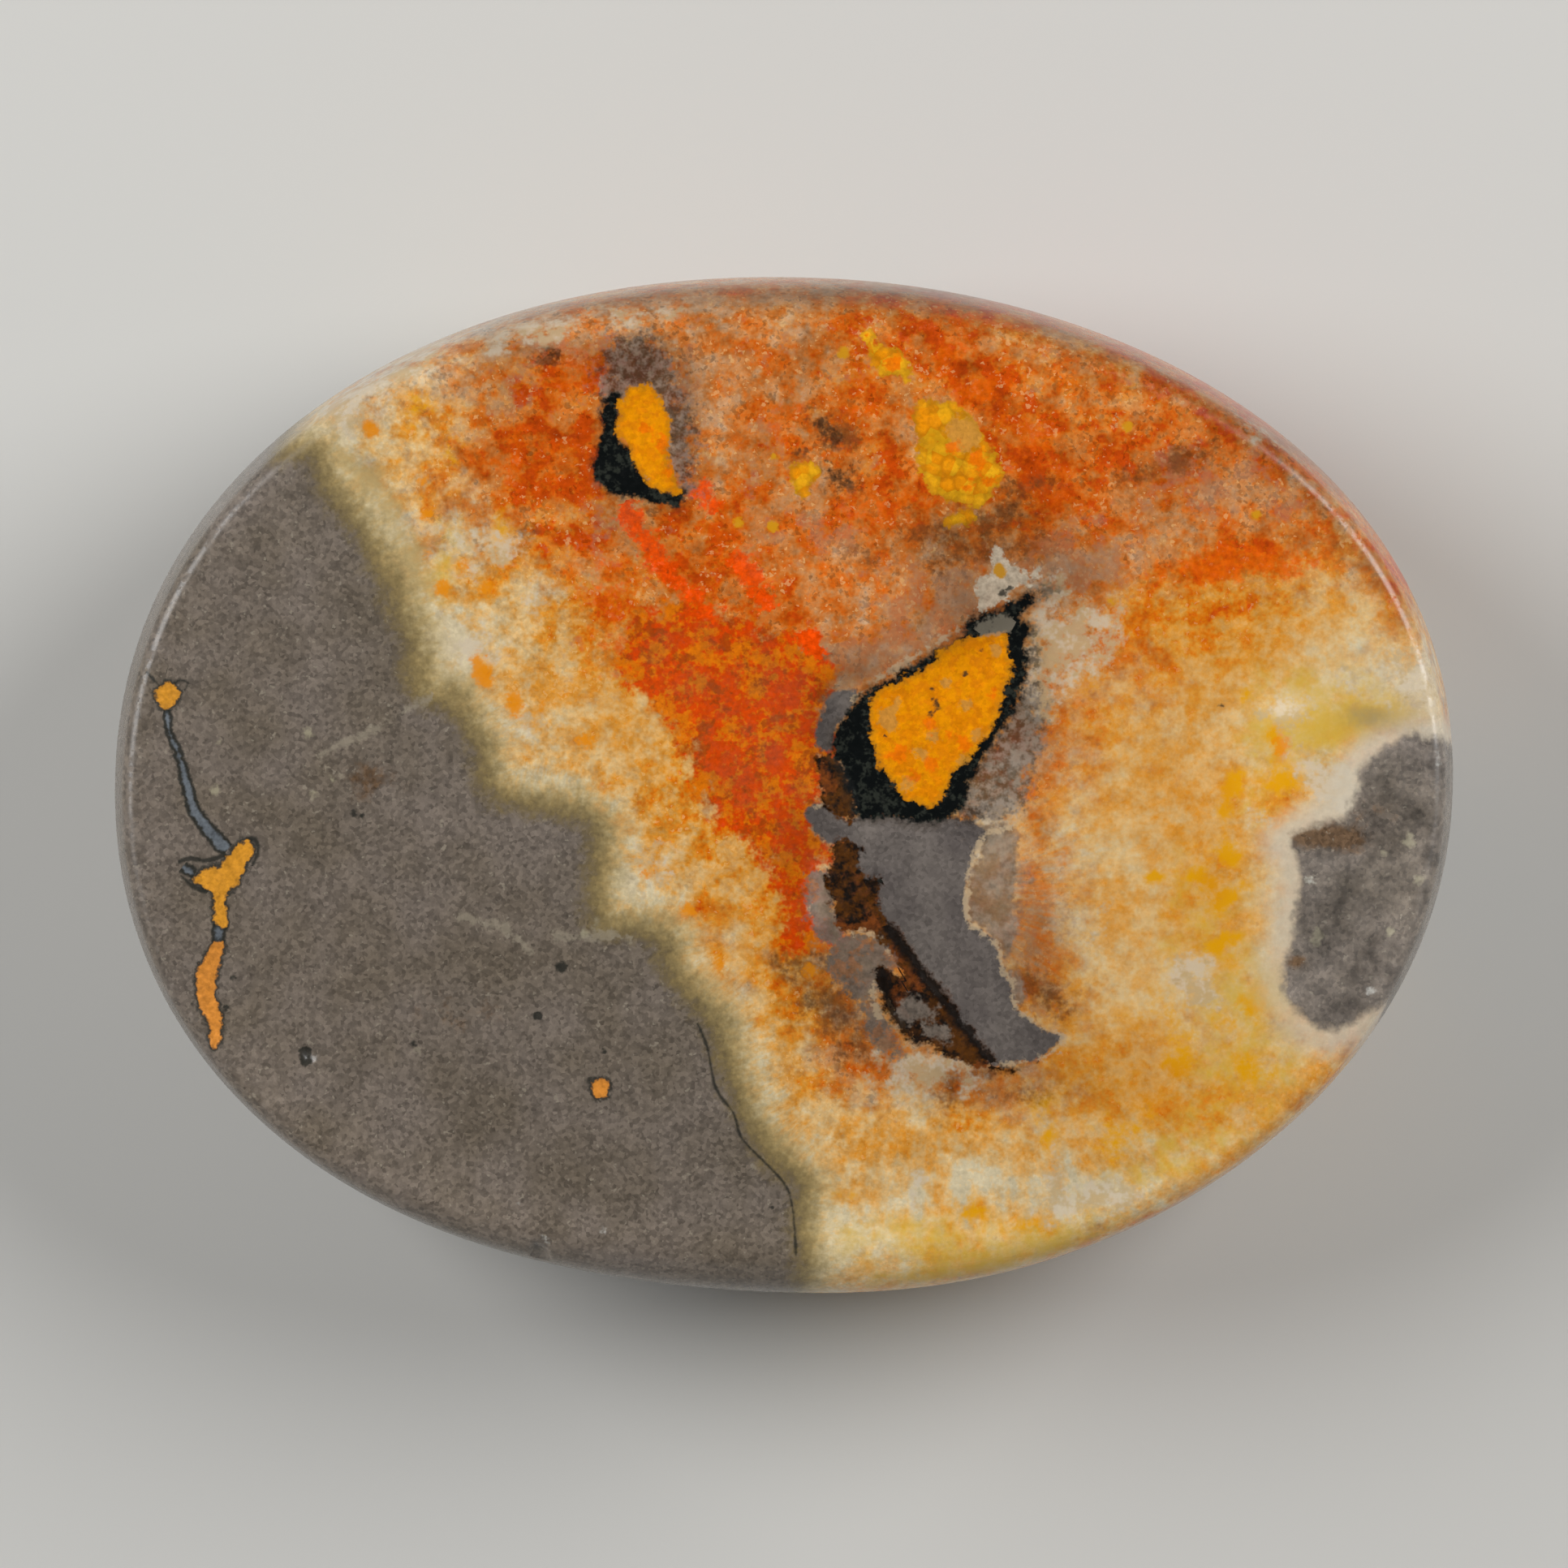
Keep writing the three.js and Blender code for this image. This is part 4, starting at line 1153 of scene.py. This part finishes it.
class Painter:
    """Lays the stone's colours over each other, and keeps its gloss and its fine relief."""

    def __init__(self, tree, where):
        self.tree = tree
        self.where = where
        self.fetched = {}
        coordinates = tree.nodes.new("ShaderNodeTexCoord")
        scaled = tree.nodes.new("ShaderNodeVectorMath")
        scaled.operation = "SCALE"
        scaled.inputs["Scale"].default_value = 1 / MM
        tree.links.new(coordinates.outputs["Object"], scaled.inputs[0])
        self.places = scaled.outputs[0]
        self.clouds = self.noise(CLOUD_SIZE, detail=2, roughness=0.5)
        self.lumps = self.noise(LUMP_SIZE, detail=3, roughness=0.65)
        self.crumbs = self.noise(CRUMB_SIZE, detail=2, roughness=0.75)
        self.crystals, _ = self.cells(CRYSTAL_SIZE)
        self.pink = None
        self.colour = None

    def mark(self, name):
        """The value of a marking."""
        attribute, part = self.where[name]
        if attribute not in self.fetched:
            node = self.tree.nodes.new("ShaderNodeAttribute")
            node.attribute_name = attribute
            parts = self.tree.nodes.new("ShaderNodeSeparateXYZ")
            self.tree.links.new(node.outputs["Vector"], parts.inputs[0])
            self.fetched[attribute] = parts.outputs
        return Signal(self.tree, self.fetched[attribute][part])

    def noise_node(self, places, size, detail, roughness):
        node = self.tree.nodes.new("ShaderNodeTexNoise")
        node.inputs["Scale"].default_value = 1 / size
        node.inputs["Detail"].default_value = detail
        node.inputs["Roughness"].default_value = roughness
        self.tree.links.new(places, node.inputs["Vector"])
        return node

    def noise(self, size, detail, roughness):
        """Three unrelated noises with lumps of one size and finer ones, each from about -1 to 1."""
        return self.centred(self.noise_node(self.places, size, detail, roughness).outputs["Color"], 4.0)

    def cells(self, size):
        """Three chance values from -1 to 1 for each crystal, and how far its middle is in cells."""
        node = self.tree.nodes.new("ShaderNodeTexVoronoi")
        node.inputs["Scale"].default_value = 1 / size
        plug(self.tree, node.inputs["Vector"], self.places)
        return self.centred(node.outputs["Color"], 2.0), Signal(self.tree, node.outputs["Distance"])

    def centred(self, colour, spread):
        """The three parts of a colour as numbers round 0."""
        parts = self.tree.nodes.new("ShaderNodeSeparateColor")
        self.tree.links.new(colour, parts.inputs[0])
        return [(Signal(self.tree, output) - 0.5) * spread for output in parts.outputs]

    def fibres(self, across, along, size):
        """A noise stretched into fibres. Two marks say how far across and along them a place is."""
        combined = self.tree.nodes.new("ShaderNodeCombineXYZ")
        plug(self.tree, combined.inputs[0], self.mark(across))
        plug(self.tree, combined.inputs[1], self.mark(along) * FIBRE_STRETCH)
        node = self.noise_node(combined.outputs[0], size, detail=2, roughness=0.6)
        return (Signal(self.tree, node.outputs["Fac"]) - 0.5) * 4.0

    def ramp(self, value, stops):
        node = self.tree.nodes.new("ShaderNodeValToRGB")
        elements = node.color_ramp.elements
        while len(elements) < len(stops):
            elements.new(1.0)
        for element, (position, colour) in zip(elements, stops):
            element.position = position
            element.color = linear(colour)
        plug(self.tree, node.inputs["Fac"], value)
        return node.outputs["Color"]

    def mixed(self, share, first, second):
        """Two colours mixed: the second one shows where the share is 1."""
        node = self.tree.nodes.new("ShaderNodeMix")
        node.data_type = "RGBA"
        plug(self.tree, node.inputs["Factor"], share)
        for socket, colour in ((node.inputs[6], first), (node.inputs[7], second)):
            plug(self.tree, socket, linear(colour) if isinstance(colour, tuple) else colour)
        return node.outputs[2]

    def cover(self, share, colour):
        self.colour = self.mixed(share, self.colour, colour)

    def shade(self, colour, factor):
        """A colour made lighter or darker."""
        node = self.tree.nodes.new("ShaderNodeVectorMath")
        node.operation = "SCALE"
        plug(self.tree, node.inputs[0], linear(colour)[:3] if isinstance(colour, tuple) else colour)
        plug(self.tree, node.inputs["Scale"], factor)
        return node.outputs[0]

    def ragged(self, name, depth):
        """A marking with an edge that wanders by about this many millimetres."""
        return self.mark(name) + depth * (self.lumps[2] + self.crumbs[2])

    def line(self, name, blur, ragged=0.05):
        """How much of a drawn line shows."""
        side, half = self.mark(name + "_side"), self.mark(name + "_half")
        return (half - side.size() + ragged * (self.lumps[1] + self.crumbs[1])).rising(-blur, blur)


def calcite(paint):
    """The crystalline calcite: cream with little iron in it, and orange and red with much."""
    calm = paint.mark("calm")
    near_seam = paint.mark("grey_left").rising(*SEAM_FIBRES_FROM)
    seam_fibres = paint.fibres("seam_run", "grey_left", SEAM_FIBRE_SIZE)
    ray_fibres = paint.fibres("ray_turn", "ray_reach", RAY_FIBRE_SIZE)
    rays = paint.mark("rays") * ray_fibres
    blotches = paint.lumps[0].rising(-0.5, 0.5) - 0.5
    iron = paint.mark("iron") + (1.0 - 0.45 * calm) * (0.38 * blotches + 0.16 * paint.crumbs[0])
    iron = iron + 0.08 * paint.clouds[0] + 0.32 * rays - near_seam * (0.2 - 0.25 * seam_fibres)
    golden = (paint.mark("golden") + 0.1 * paint.clouds[1] + 0.3 * paint.lumps[1]).rising(0.2, 0.8)
    golden = golden.at_least(near_seam)
    paint.pink = 1.0 - golden
    paint.colour = paint.mixed(golden, paint.ramp(iron, PINK_CALCITE), paint.ramp(iron, GOLDEN_CALCITE))
    light = 0.22 * paint.lumps[1] + 0.16 * paint.crumbs[1] + 0.09 * paint.crystals[0]
    light = (1.0 - 0.7 * calm) * light + paint.pink * 0.3 * paint.lumps[2]
    paint.colour = paint.shade(paint.colour, 1.0 + light + 0.16 * rays)


def soft_patch(paint, name, noise, ragged, fine=0.12, full=0.75):
    """A soft patch broken up by noise, with nothing of it where its mark is 0."""
    mark = paint.mark(name)
    broken = (4.0 * mark).at_most(1.0) * (ragged * noise + fine * paint.crumbs[2])
    return (mark + broken).rising(0.95 - full, full)


def stains(paint):
    """What lies in clouds through the calcite."""
    paint.cover(soft_patch(paint, "lemon", paint.lumps[2], 0.4, full=0.95) * 0.85, LEMON)
    gold = paint.mixed(paint.mark("iron").rising(0.5, 0.65), GOLD, RUSTY_GOLD)
    paint.cover(soft_patch(paint, "gold", paint.lumps[1], 0.6, fine=0.3, full=0.9) * 0.95, gold)
    mauve = paint.mark("mauve") + 0.7 * paint.lumps[1] + 0.3 * paint.crumbs[1] - 0.4 * paint.mark("golden")
    paint.cover(mauve.rising(0.15, 0.65) * 0.55, MAUVE_CALCITE)
    paint.cover(soft_patch(paint, "khaki", paint.lumps[0], 0.4, full=0.95) * 0.8, KHAKI)
    paint.cover(soft_patch(paint, "hot", paint.lumps[1], 0.6, fine=0.4, full=0.85) * 0.85,
                paint.shade(HOT_ORANGE, 1.0 + 0.3 * paint.crumbs[1]))
    paint.cover(soft_patch(paint, "umber", paint.lumps[2], 0.7, fine=0.4, full=0.95) * 0.8,
                paint.shade(UMBER, 1.0 + 0.6 * paint.lumps[0] + 0.4 * paint.crumbs[1]))
    milk = paint.mixed((paint.lumps[0] + 0.4 * paint.crumbs[1]).rising(-0.3, 0.3), MILK, MILK_TAN)
    paint.cover(soft_patch(paint, "milk", paint.lumps[1], 0.55, fine=0.3) * 0.8, milk)
    paint.cover(soft_patch(paint, "smoke", paint.lumps[2], 0.7, fine=0.6, full=0.9) * 0.7,
                paint.shade(SMOKE, 1.0 + paint.crumbs[1] + 0.5 * paint.lumps[1]))


def flame(paint):
    """The tongue of orange and red, with browner clouds in it."""
    inside = (paint.mark("tongue") + 0.9 * paint.lumps[0] + 0.3 * paint.crumbs[0]).rising(-0.45, 0.45)
    body = paint.mixed((paint.lumps[1] + 0.6 * paint.crumbs[0]).rising(-0.4, 0.3), FLAME_ORANGE, FLAME_RED)
    body = paint.mixed((paint.lumps[2] + 0.5 * paint.crumbs[1]).rising(0.1, 0.6) * 0.8, body, FLAME_BROWN)
    light = 1.0 + 0.1 * paint.crystals[1] + 0.2 * paint.crumbs[2] + 0.25 * paint.lumps[0]
    paint.cover(inside * 0.94, paint.shade(body, light))


def red_streaks(paint):
    red = paint.shade(STREAK_RED, 1.0 + 0.1 * paint.crystals[1] + 0.4 * paint.crumbs[0])
    paint.cover(paint.line("red", 0.3, 0.5) * 0.9, red)
    paint.cover(paint.ragged("red_spots", 0.25).rising(-0.15, 0.15), red)


def glints(paint):
    """Light and dark crystals all through the calcite, fewer where it is calm."""
    lively = 1.0 - 0.85 * paint.mark("calm")
    light = (paint.crystals[2] + 0.5 * paint.lumps[1] + 0.8 * paint.crumbs[0]).rising(0.95, 1.2)
    paint.cover(light * lively * 0.4, FLECK)
    dark = (paint.crystals[1] + 1.2 * paint.lumps[2] - 0.8 * paint.crumbs[0]).rising(0.7, 1.2)
    paint.colour = paint.shade(paint.colour, 1.0 - dark * lively * (0.06 + 0.3 * paint.pink))


def host_rock(paint):
    """The fine grey rock, evenly grained, a little browner in clouds and with a few stains."""
    body = paint.mixed((0.5 + 0.5 * paint.clouds[0]).rising(0.0, 1.0), HOST_GREY, HOST_BROWN)
    body = paint.mixed(soft_patch(paint, "stain", paint.lumps[2], 0.5) * 0.8, body, STAIN)
    grain = 0.18 * paint.crumbs[1] + 0.16 * paint.lumps[1] + 0.32 * paint.crystals[0]
    body = paint.shade(body, 1.09 + grain)
    body = paint.mixed((paint.crumbs[0] + 0.3 * paint.crystals[1]).rising(0.65, 0.95) * 0.6, body, HOST_PALE)
    body = paint.mixed(paint.ragged("pale_specks", 0.15).rising(-0.12, 0.15) * 0.65, body, PALE_SPECK)
    return paint.mixed(paint.ragged("bruises", 0.15).rising(-0.12, 0.15) * 0.9, body, BRUISE_WHITE)


def grey_zones(paint):
    """Both grey ends of the stone, each with its own kind of border."""
    rock = host_rock(paint)
    left = paint.ragged("grey_left", 0.3)
    paint.cover(left.rising(*SEAM_CREAM_FROM) * 0.6,
                paint.shade(SEAM_CREAM, 1.0 + 0.2 * paint.crumbs[1]))
    paint.cover(left.rising(*SEAM_OLIVE_FROM) * 0.85,
                paint.shade(SEAM_OLIVE, 1.0 + 0.2 * paint.crumbs[1]))
    paint.cover(left.rising(*HOST_OLIVE_FROM),
                paint.shade(HOST_OLIVE, 1.0 + 0.15 * paint.crystals[1]))
    paint.cover(left.rising(*HOST_FROM), rock)
    right = paint.mark("grey_right") + 0.35 * paint.lumps[2] + 0.1 * paint.crumbs[2]
    paint.cover(right.rising(*HALO_WHITE_FROM) * (0.85 - 0.7 * paint.mark("lemon")),
                paint.shade(HALO_WHITE, 1.0 + 0.08 * paint.crumbs[1]))
    clouded = 1.03 + 0.55 * paint.lumps[2] + 0.25 * paint.clouds[1]
    rock = paint.mixed(0.2 - 0.3 * paint.mark("stain"), rock, HOST_COOL)
    paint.cover(right.rising(*RIGHT_HOST_FROM), paint.shade(rock, clouded))


def core(paint):
    """The cloudy clear band, the small grey patches, the dense grey core and its cream lines."""
    band = paint.mark("clear_band") + 0.7 * paint.lumps[0] + 0.2 * paint.crumbs[0]
    band_colour = paint.mixed(paint.lumps[1].rising(-0.3, 0.3), BAND_GREY, BAND_BROWN)
    band_colour = paint.shade(band_colour, 1.0 + 0.3 * paint.lumps[2] + 0.35 * paint.crumbs[1])
    paint.cover(band.rising(-0.3, 0.3) * 0.85, band_colour)
    small = paint.mixed((paint.lumps[0] + 0.5 * paint.crumbs[1]).rising(0.2, 0.6), SMALL_GREY, SMALL_TAN)
    paint.cover(paint.ragged("small_greys", 0.35).rising(-0.25, 0.2) * 0.9,
                paint.shade(small, 1.0 + 0.4 * paint.crumbs[0]))
    inside = paint.ragged("core", 0.13)
    body = paint.mixed((0.5 + 0.6 * paint.clouds[1]).rising(0.0, 1.0), CORE_GREY, CORE_LOW_GREY)
    grain = 0.2 * paint.crystals[0] + 0.12 * paint.crumbs[1] + 0.14 * paint.lumps[1]
    paint.cover(inside.rising(-0.12, 0.1), paint.shade(body, 1.0 + grain))
    paint.cover(paint.line("cream", 0.1, 0.2) * 0.7, CREAM_RIM)


def streak(paint):
    """The dark, crumbly streak along the core."""
    depth = paint.ragged("streak", 0.25)
    body = paint.mixed((paint.lumps[0] + 0.7 * paint.crumbs[1]).rising(-0.6, 0.35), STREAK_BLACK,
                       STREAK_BROWN)
    body = paint.mixed((paint.lumps[1] + 0.5 * paint.crumbs[0]).rising(0.2, 0.8) * 0.4, body, STREAK_RUST)
    body = paint.mixed(paint.line("rust", 0.25, 0.3) * 0.85, body, STREAK_RUST)
    body = paint.mixed(paint.line("black", 0.2, 0.2), body, STREAK_BLACK)
    body = paint.mixed(paint.ragged("pockets", 0.35).rising(-0.2, 0.25) * 0.85, body, SMALL_GREY)
    inside = depth.rising(-0.15, 0.15).at_least(paint.line("black", 0.15, 0.2) * 0.95)
    paint.cover(inside, paint.shade(body, 1.0 + 0.2 * paint.crystals[1] + 0.4 * paint.crumbs[2]))


def halos(paint):
    """The dusky zones, the black round the yellow inclusions and the white pocket above."""
    dusk = paint.mixed((0.6 * paint.lumps[1] + paint.crumbs[1]).rising(-0.6, 0.7), DUSK_DARK, DUSK_PALE)
    paint.cover(paint.ragged("dusk", 0.6).rising(-0.6, 0.4) * 0.8, dusk)
    black = paint.mixed((paint.crumbs[1] + 0.5 * paint.lumps[0]).rising(-0.1, 0.7), HALO_BLACK, HALO_GREEN)
    halo = paint.ragged("halo", 0.2)
    paint.cover(halo.rising(-0.5, 0.0) * 0.35, SMOKE)
    paint.cover(halo.rising(-0.17, 0.15), black)
    paint.cover(paint.ragged("white", 0.25).rising(-0.1, 0.12) * 0.9,
                paint.shade(MILK, 1.0 + 0.4 * paint.crumbs[1]))


def inclusions(paint):
    """The yellow inclusions, which are made of beads, and the single beads and drips."""
    beads, distance = paint.cells(BEAD_SIZE)
    body = paint.mixed((distance + 0.5 * paint.crumbs[0]).rising(0.3, 0.8) * 0.6, INCLUSION_YELLOW,
                       INCLUSION_DEEP)
    beaded = paint.mixed((beads[0] + 0.5 * paint.lumps[0]).rising(-0.4, 0.6), OLD_GOLD_PALE, OLD_GOLD_DEEP)
    beaded = paint.shade(beaded, 1.1 - 0.35 * (distance + 0.2 * paint.crumbs[1]).rising(0.4, 0.75))
    body = paint.mixed(paint.mark("old_gold").rising(-0.2, -0.1), body, beaded)
    body = paint.mixed(paint.ragged("tan_spots", 0.25).rising(-0.12, 0.12) * 0.9, body, INCLUSION_TAN)
    body = paint.mixed(paint.ragged("orange_spots", 0.25).rising(-0.15, 0.15) * 0.85, body, INCLUSION_ORANGE)
    body = paint.shade(body, 1.0 + 0.1 * paint.crystals[0] + 0.15 * paint.crumbs[1])
    depth = paint.mark("yellow").at_least(paint.mark("old_gold"))
    rim = depth + 0.2 * (paint.lumps[2] + paint.crumbs[2])
    body = paint.mixed(rim.rising(0.35, 0.05) * 0.5, body, INCLUSION_RIM)
    paint.cover(rim.rising(-0.1, 0.1), body)
    paint.cover(paint.ragged("yellow_dots", 0.12).rising(-0.1, 0.1) * 0.95, DOT_YELLOW)
    paint.cover(paint.ragged("drips", 0.25).rising(-0.2, 0.15) * 0.85, DRIP_ORANGE)


def veins(paint):
    """The filled veins in the grey rock, the cracks, the faint pale veins and the dark specks."""
    edge = 0.14 * (paint.lumps[1] + paint.crumbs[0])
    paint.cover(paint.line("pale", 0.16, 0.25) * 0.55, PALE_VEIN)
    slate_side, slate_half = paint.mark("slate_side"), paint.mark("slate_half")
    slate = slate_half - slate_side.size() + 0.6 * edge
    paint.cover((slate + 0.13).rising(-0.08, 0.06) * 0.9, VEIN_DARK)
    paint.cover((slate - 0.02).rising(-0.05, 0.1) * 0.9, paint.shade(SLATE, 1.0 + 0.4 * paint.crumbs[2]))
    paint.cover(paint.line("dark", 0.07, 0.05) * 0.85, VEIN_DARK)
    filling = paint.mark("vein_yellow").at_least(paint.mark("vein_orange")) + edge
    paint.cover((filling + 0.15).rising(-0.1, 0.08) * 0.8, VEIN_DARK)
    light = 1.0 + 0.1 * paint.crystals[2] + 0.3 * paint.crumbs[1]
    paint.cover((paint.mark("vein_yellow") + edge).rising(-0.08, 0.08), paint.shade(VEIN_GOLD, light))
    paint.cover((paint.mark("vein_orange") + edge).rising(-0.08, 0.08), paint.shade(VEIN_TAN, light))
    paint.cover(paint.ragged("pits", 0.1).rising(-0.06, 0.08) * 0.85, VEIN_DARK)


def painted_light_and_tone(paint):
    """Painted light along the stone's lower edge and painted shade along its upper one, with the stone's own
    lighter and darker tone in other places.
    """
    # painted light and painted shade along the edges, the stone's own lighter and darker tone elsewhere
    paint.colour = paint.shade(paint.colour, 1.0 + paint.mark("tone_and_painted_light"))


def gloss_and_relief(paint, shader):
    """A satin polish: the dense minerals shine more than the crumbly ones."""
    crumbly = paint.mark("streak").rising(-0.1, 0.1)
    grey = paint.mark("grey_left").at_least(paint.mark("grey_right")).rising(-0.2, 0.4)
    worn = paint.mark("arris") * (0.1 + 0.4 * (paint.lumps[1] + paint.crumbs[1]).rising(0.0, 0.5))
    roughness = POLISH_ROUGHNESS + GREY_ROUGHER * grey + CRUMBLY_ROUGHER * crumbly + 0.06 * paint.crumbs[0]
    plug(paint.tree, shader.inputs["Roughness"], roughness + worn)
    relief = paint.noise_node(paint.places, RELIEF_SIZE, detail=1, roughness=0.6)
    bump = paint.tree.nodes.new("ShaderNodeBump")
    bump.inputs["Strength"].default_value = RELIEF_STRENGTH
    bump.inputs["Distance"].default_value = RELIEF_HEIGHT
    plug(paint.tree, bump.inputs["Height"], relief.outputs["Fac"])
    plug(paint.tree, shader.inputs["Normal"], bump.outputs["Normal"])


def jasper_material(where):
    material = bpy.data.materials.new("jasper")
    material.use_nodes = True
    tree = material.node_tree
    shader = tree.nodes["Principled BSDF"]
    paint = Painter(tree, where)
    for layer in (calcite, glints, stains, flame, red_streaks, grey_zones, core, streak, halos,
                  inclusions, veins, painted_light_and_tone):
        layer(paint)
    tree.links.new(paint.colour, shader.inputs["Base Color"])
    gloss_and_relief(paint, shader)
    return material


def mesh_object(name, points, faces):
    mesh = bpy.data.meshes.new(name)
    mesh.from_pydata(points.tolist(), [], faces.tolist())
    piece = bpy.data.objects.new(name, mesh)
    bpy.context.scene.collection.objects.link(piece)
    return piece


def save_markings(mesh, marks):
    """Keeps the markings on the mesh, three to an attribute, and returns where each one went."""
    where = {}
    names = list(marks)
    for first in range(0, len(names), MARKS_TOGETHER):
        together = names[first:first + MARKS_TOGETHER]
        attribute = mesh.attributes.new(f"marks_{first}", "FLOAT_VECTOR", "POINT")
        values = np.zeros((len(mesh.vertices), MARKS_TOGETHER), dtype=np.float32)
        for part, name in enumerate(together):
            values[:, part] = marks[name]
            where[name] = (attribute.name, part)
        attribute.data.foreach_set("vector", values.ravel())
    return where


def stone():
    points, faces, upper_faces = stone_surface()
    points = on_node(points)
    piece = mesh_object("jasper_stone", points, faces)
    mesh = piece.data
    mesh.shade_smooth()
    layer = mesh.uv_layers.new(name="OFBake")
    layer.data.foreach_set("uv", surface_map(points, faces, upper_faces).ravel())
    mesh.materials.append(jasper_material(save_markings(mesh, markings(points))))
    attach(piece, "root")
    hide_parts(NODE)


# The studio.

def floor():
    corners = np.array([(-1, -1, 0), (1, -1, 0), (1, 1, 0), (-1, 1, 0)]) * FLOOR_HALF
    piece = mesh_object("floor", corners, np.array([(0, 1, 2, 3)]))
    material = bpy.data.materials.new("floor_paper")
    material.use_nodes = True
    shader = material.node_tree.nodes["Principled BSDF"]
    shader.inputs["Base Color"].default_value = linear(FLOOR_COLOUR)
    shader.inputs["Roughness"].default_value = FLOOR_ROUGHNESS
    piece.data.materials.append(material)


def lamp(name, azimuth, elevation, half_angle, radiance):
    """A round soft lamp that looks at the stone."""
    way = Vector((*turned(azimuth) * math.cos(math.radians(elevation)), math.sin(math.radians(elevation))))
    radius = LAMP_DISTANCE * math.tan(math.radians(half_angle))
    light = bpy.data.lights.new(f"{name}_lamp", "AREA")
    light.shape = "DISK"
    light.size = 2 * radius
    light.energy = radiance * math.pi**2 * radius**2  # the power at which a disc has this radiance
    piece = bpy.data.objects.new(f"{name}_lamp", light)
    piece.location = way * LAMP_DISTANCE
    piece.rotation_euler = way.to_track_quat("Z", "Y").to_euler()
    bpy.context.scene.collection.objects.link(piece)


def surroundings():
    """A dim studio, pale near the horizon and dark overhead and beyond the stone's upper side."""
    world = bpy.data.worlds.new("studio")
    world.use_nodes = True
    tree = world.node_tree
    coordinates = tree.nodes.new("ShaderNodeTexCoord")
    parts = tree.nodes.new("ShaderNodeSeparateXYZ")
    tree.links.new(coordinates.outputs["Generated"], parts.inputs[0])
    height = Signal(tree, parts.outputs["Z"])
    beyond = Signal(tree, parts.outputs["Y"])
    glow = HORIZON_GLOW - (HORIZON_GLOW - ZENITH_GLOW) * height.rising(*GLOW_FALLS_OVER)
    glow = glow * (1.0 - (1 - FAR_SIDE_GLOW) * beyond.rising(*FAR_SIDE_BEGINS_OVER))
    plug(tree, tree.nodes["Background"].inputs["Strength"], glow)
    tree.nodes["Background"].inputs["Color"].default_value = (1, 1, 1, 1)
    bpy.context.scene.world = world


def camera():
    data = bpy.data.cameras.new("camera")
    data.lens = LENS
    data.sensor_width = SENSOR
    data.clip_start, data.clip_end = CAMERA_REACH
    piece = bpy.data.objects.new("camera", data)
    piece.location = (0, 0, CAMERA_HEIGHT)
    bpy.context.scene.collection.objects.link(piece)
    bpy.context.scene.camera = piece


def studio():
    floor()
    for settings in LAMPS:
        lamp(**settings)
    surroundings()
    camera()
    bpy.context.scene.view_settings.view_transform = "Standard"


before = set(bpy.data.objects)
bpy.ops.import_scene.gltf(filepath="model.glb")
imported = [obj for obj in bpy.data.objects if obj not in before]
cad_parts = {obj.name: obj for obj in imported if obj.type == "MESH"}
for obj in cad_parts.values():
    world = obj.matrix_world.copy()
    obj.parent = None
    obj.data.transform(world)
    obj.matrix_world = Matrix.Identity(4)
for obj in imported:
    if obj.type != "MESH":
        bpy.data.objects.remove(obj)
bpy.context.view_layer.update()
stone()
studio()
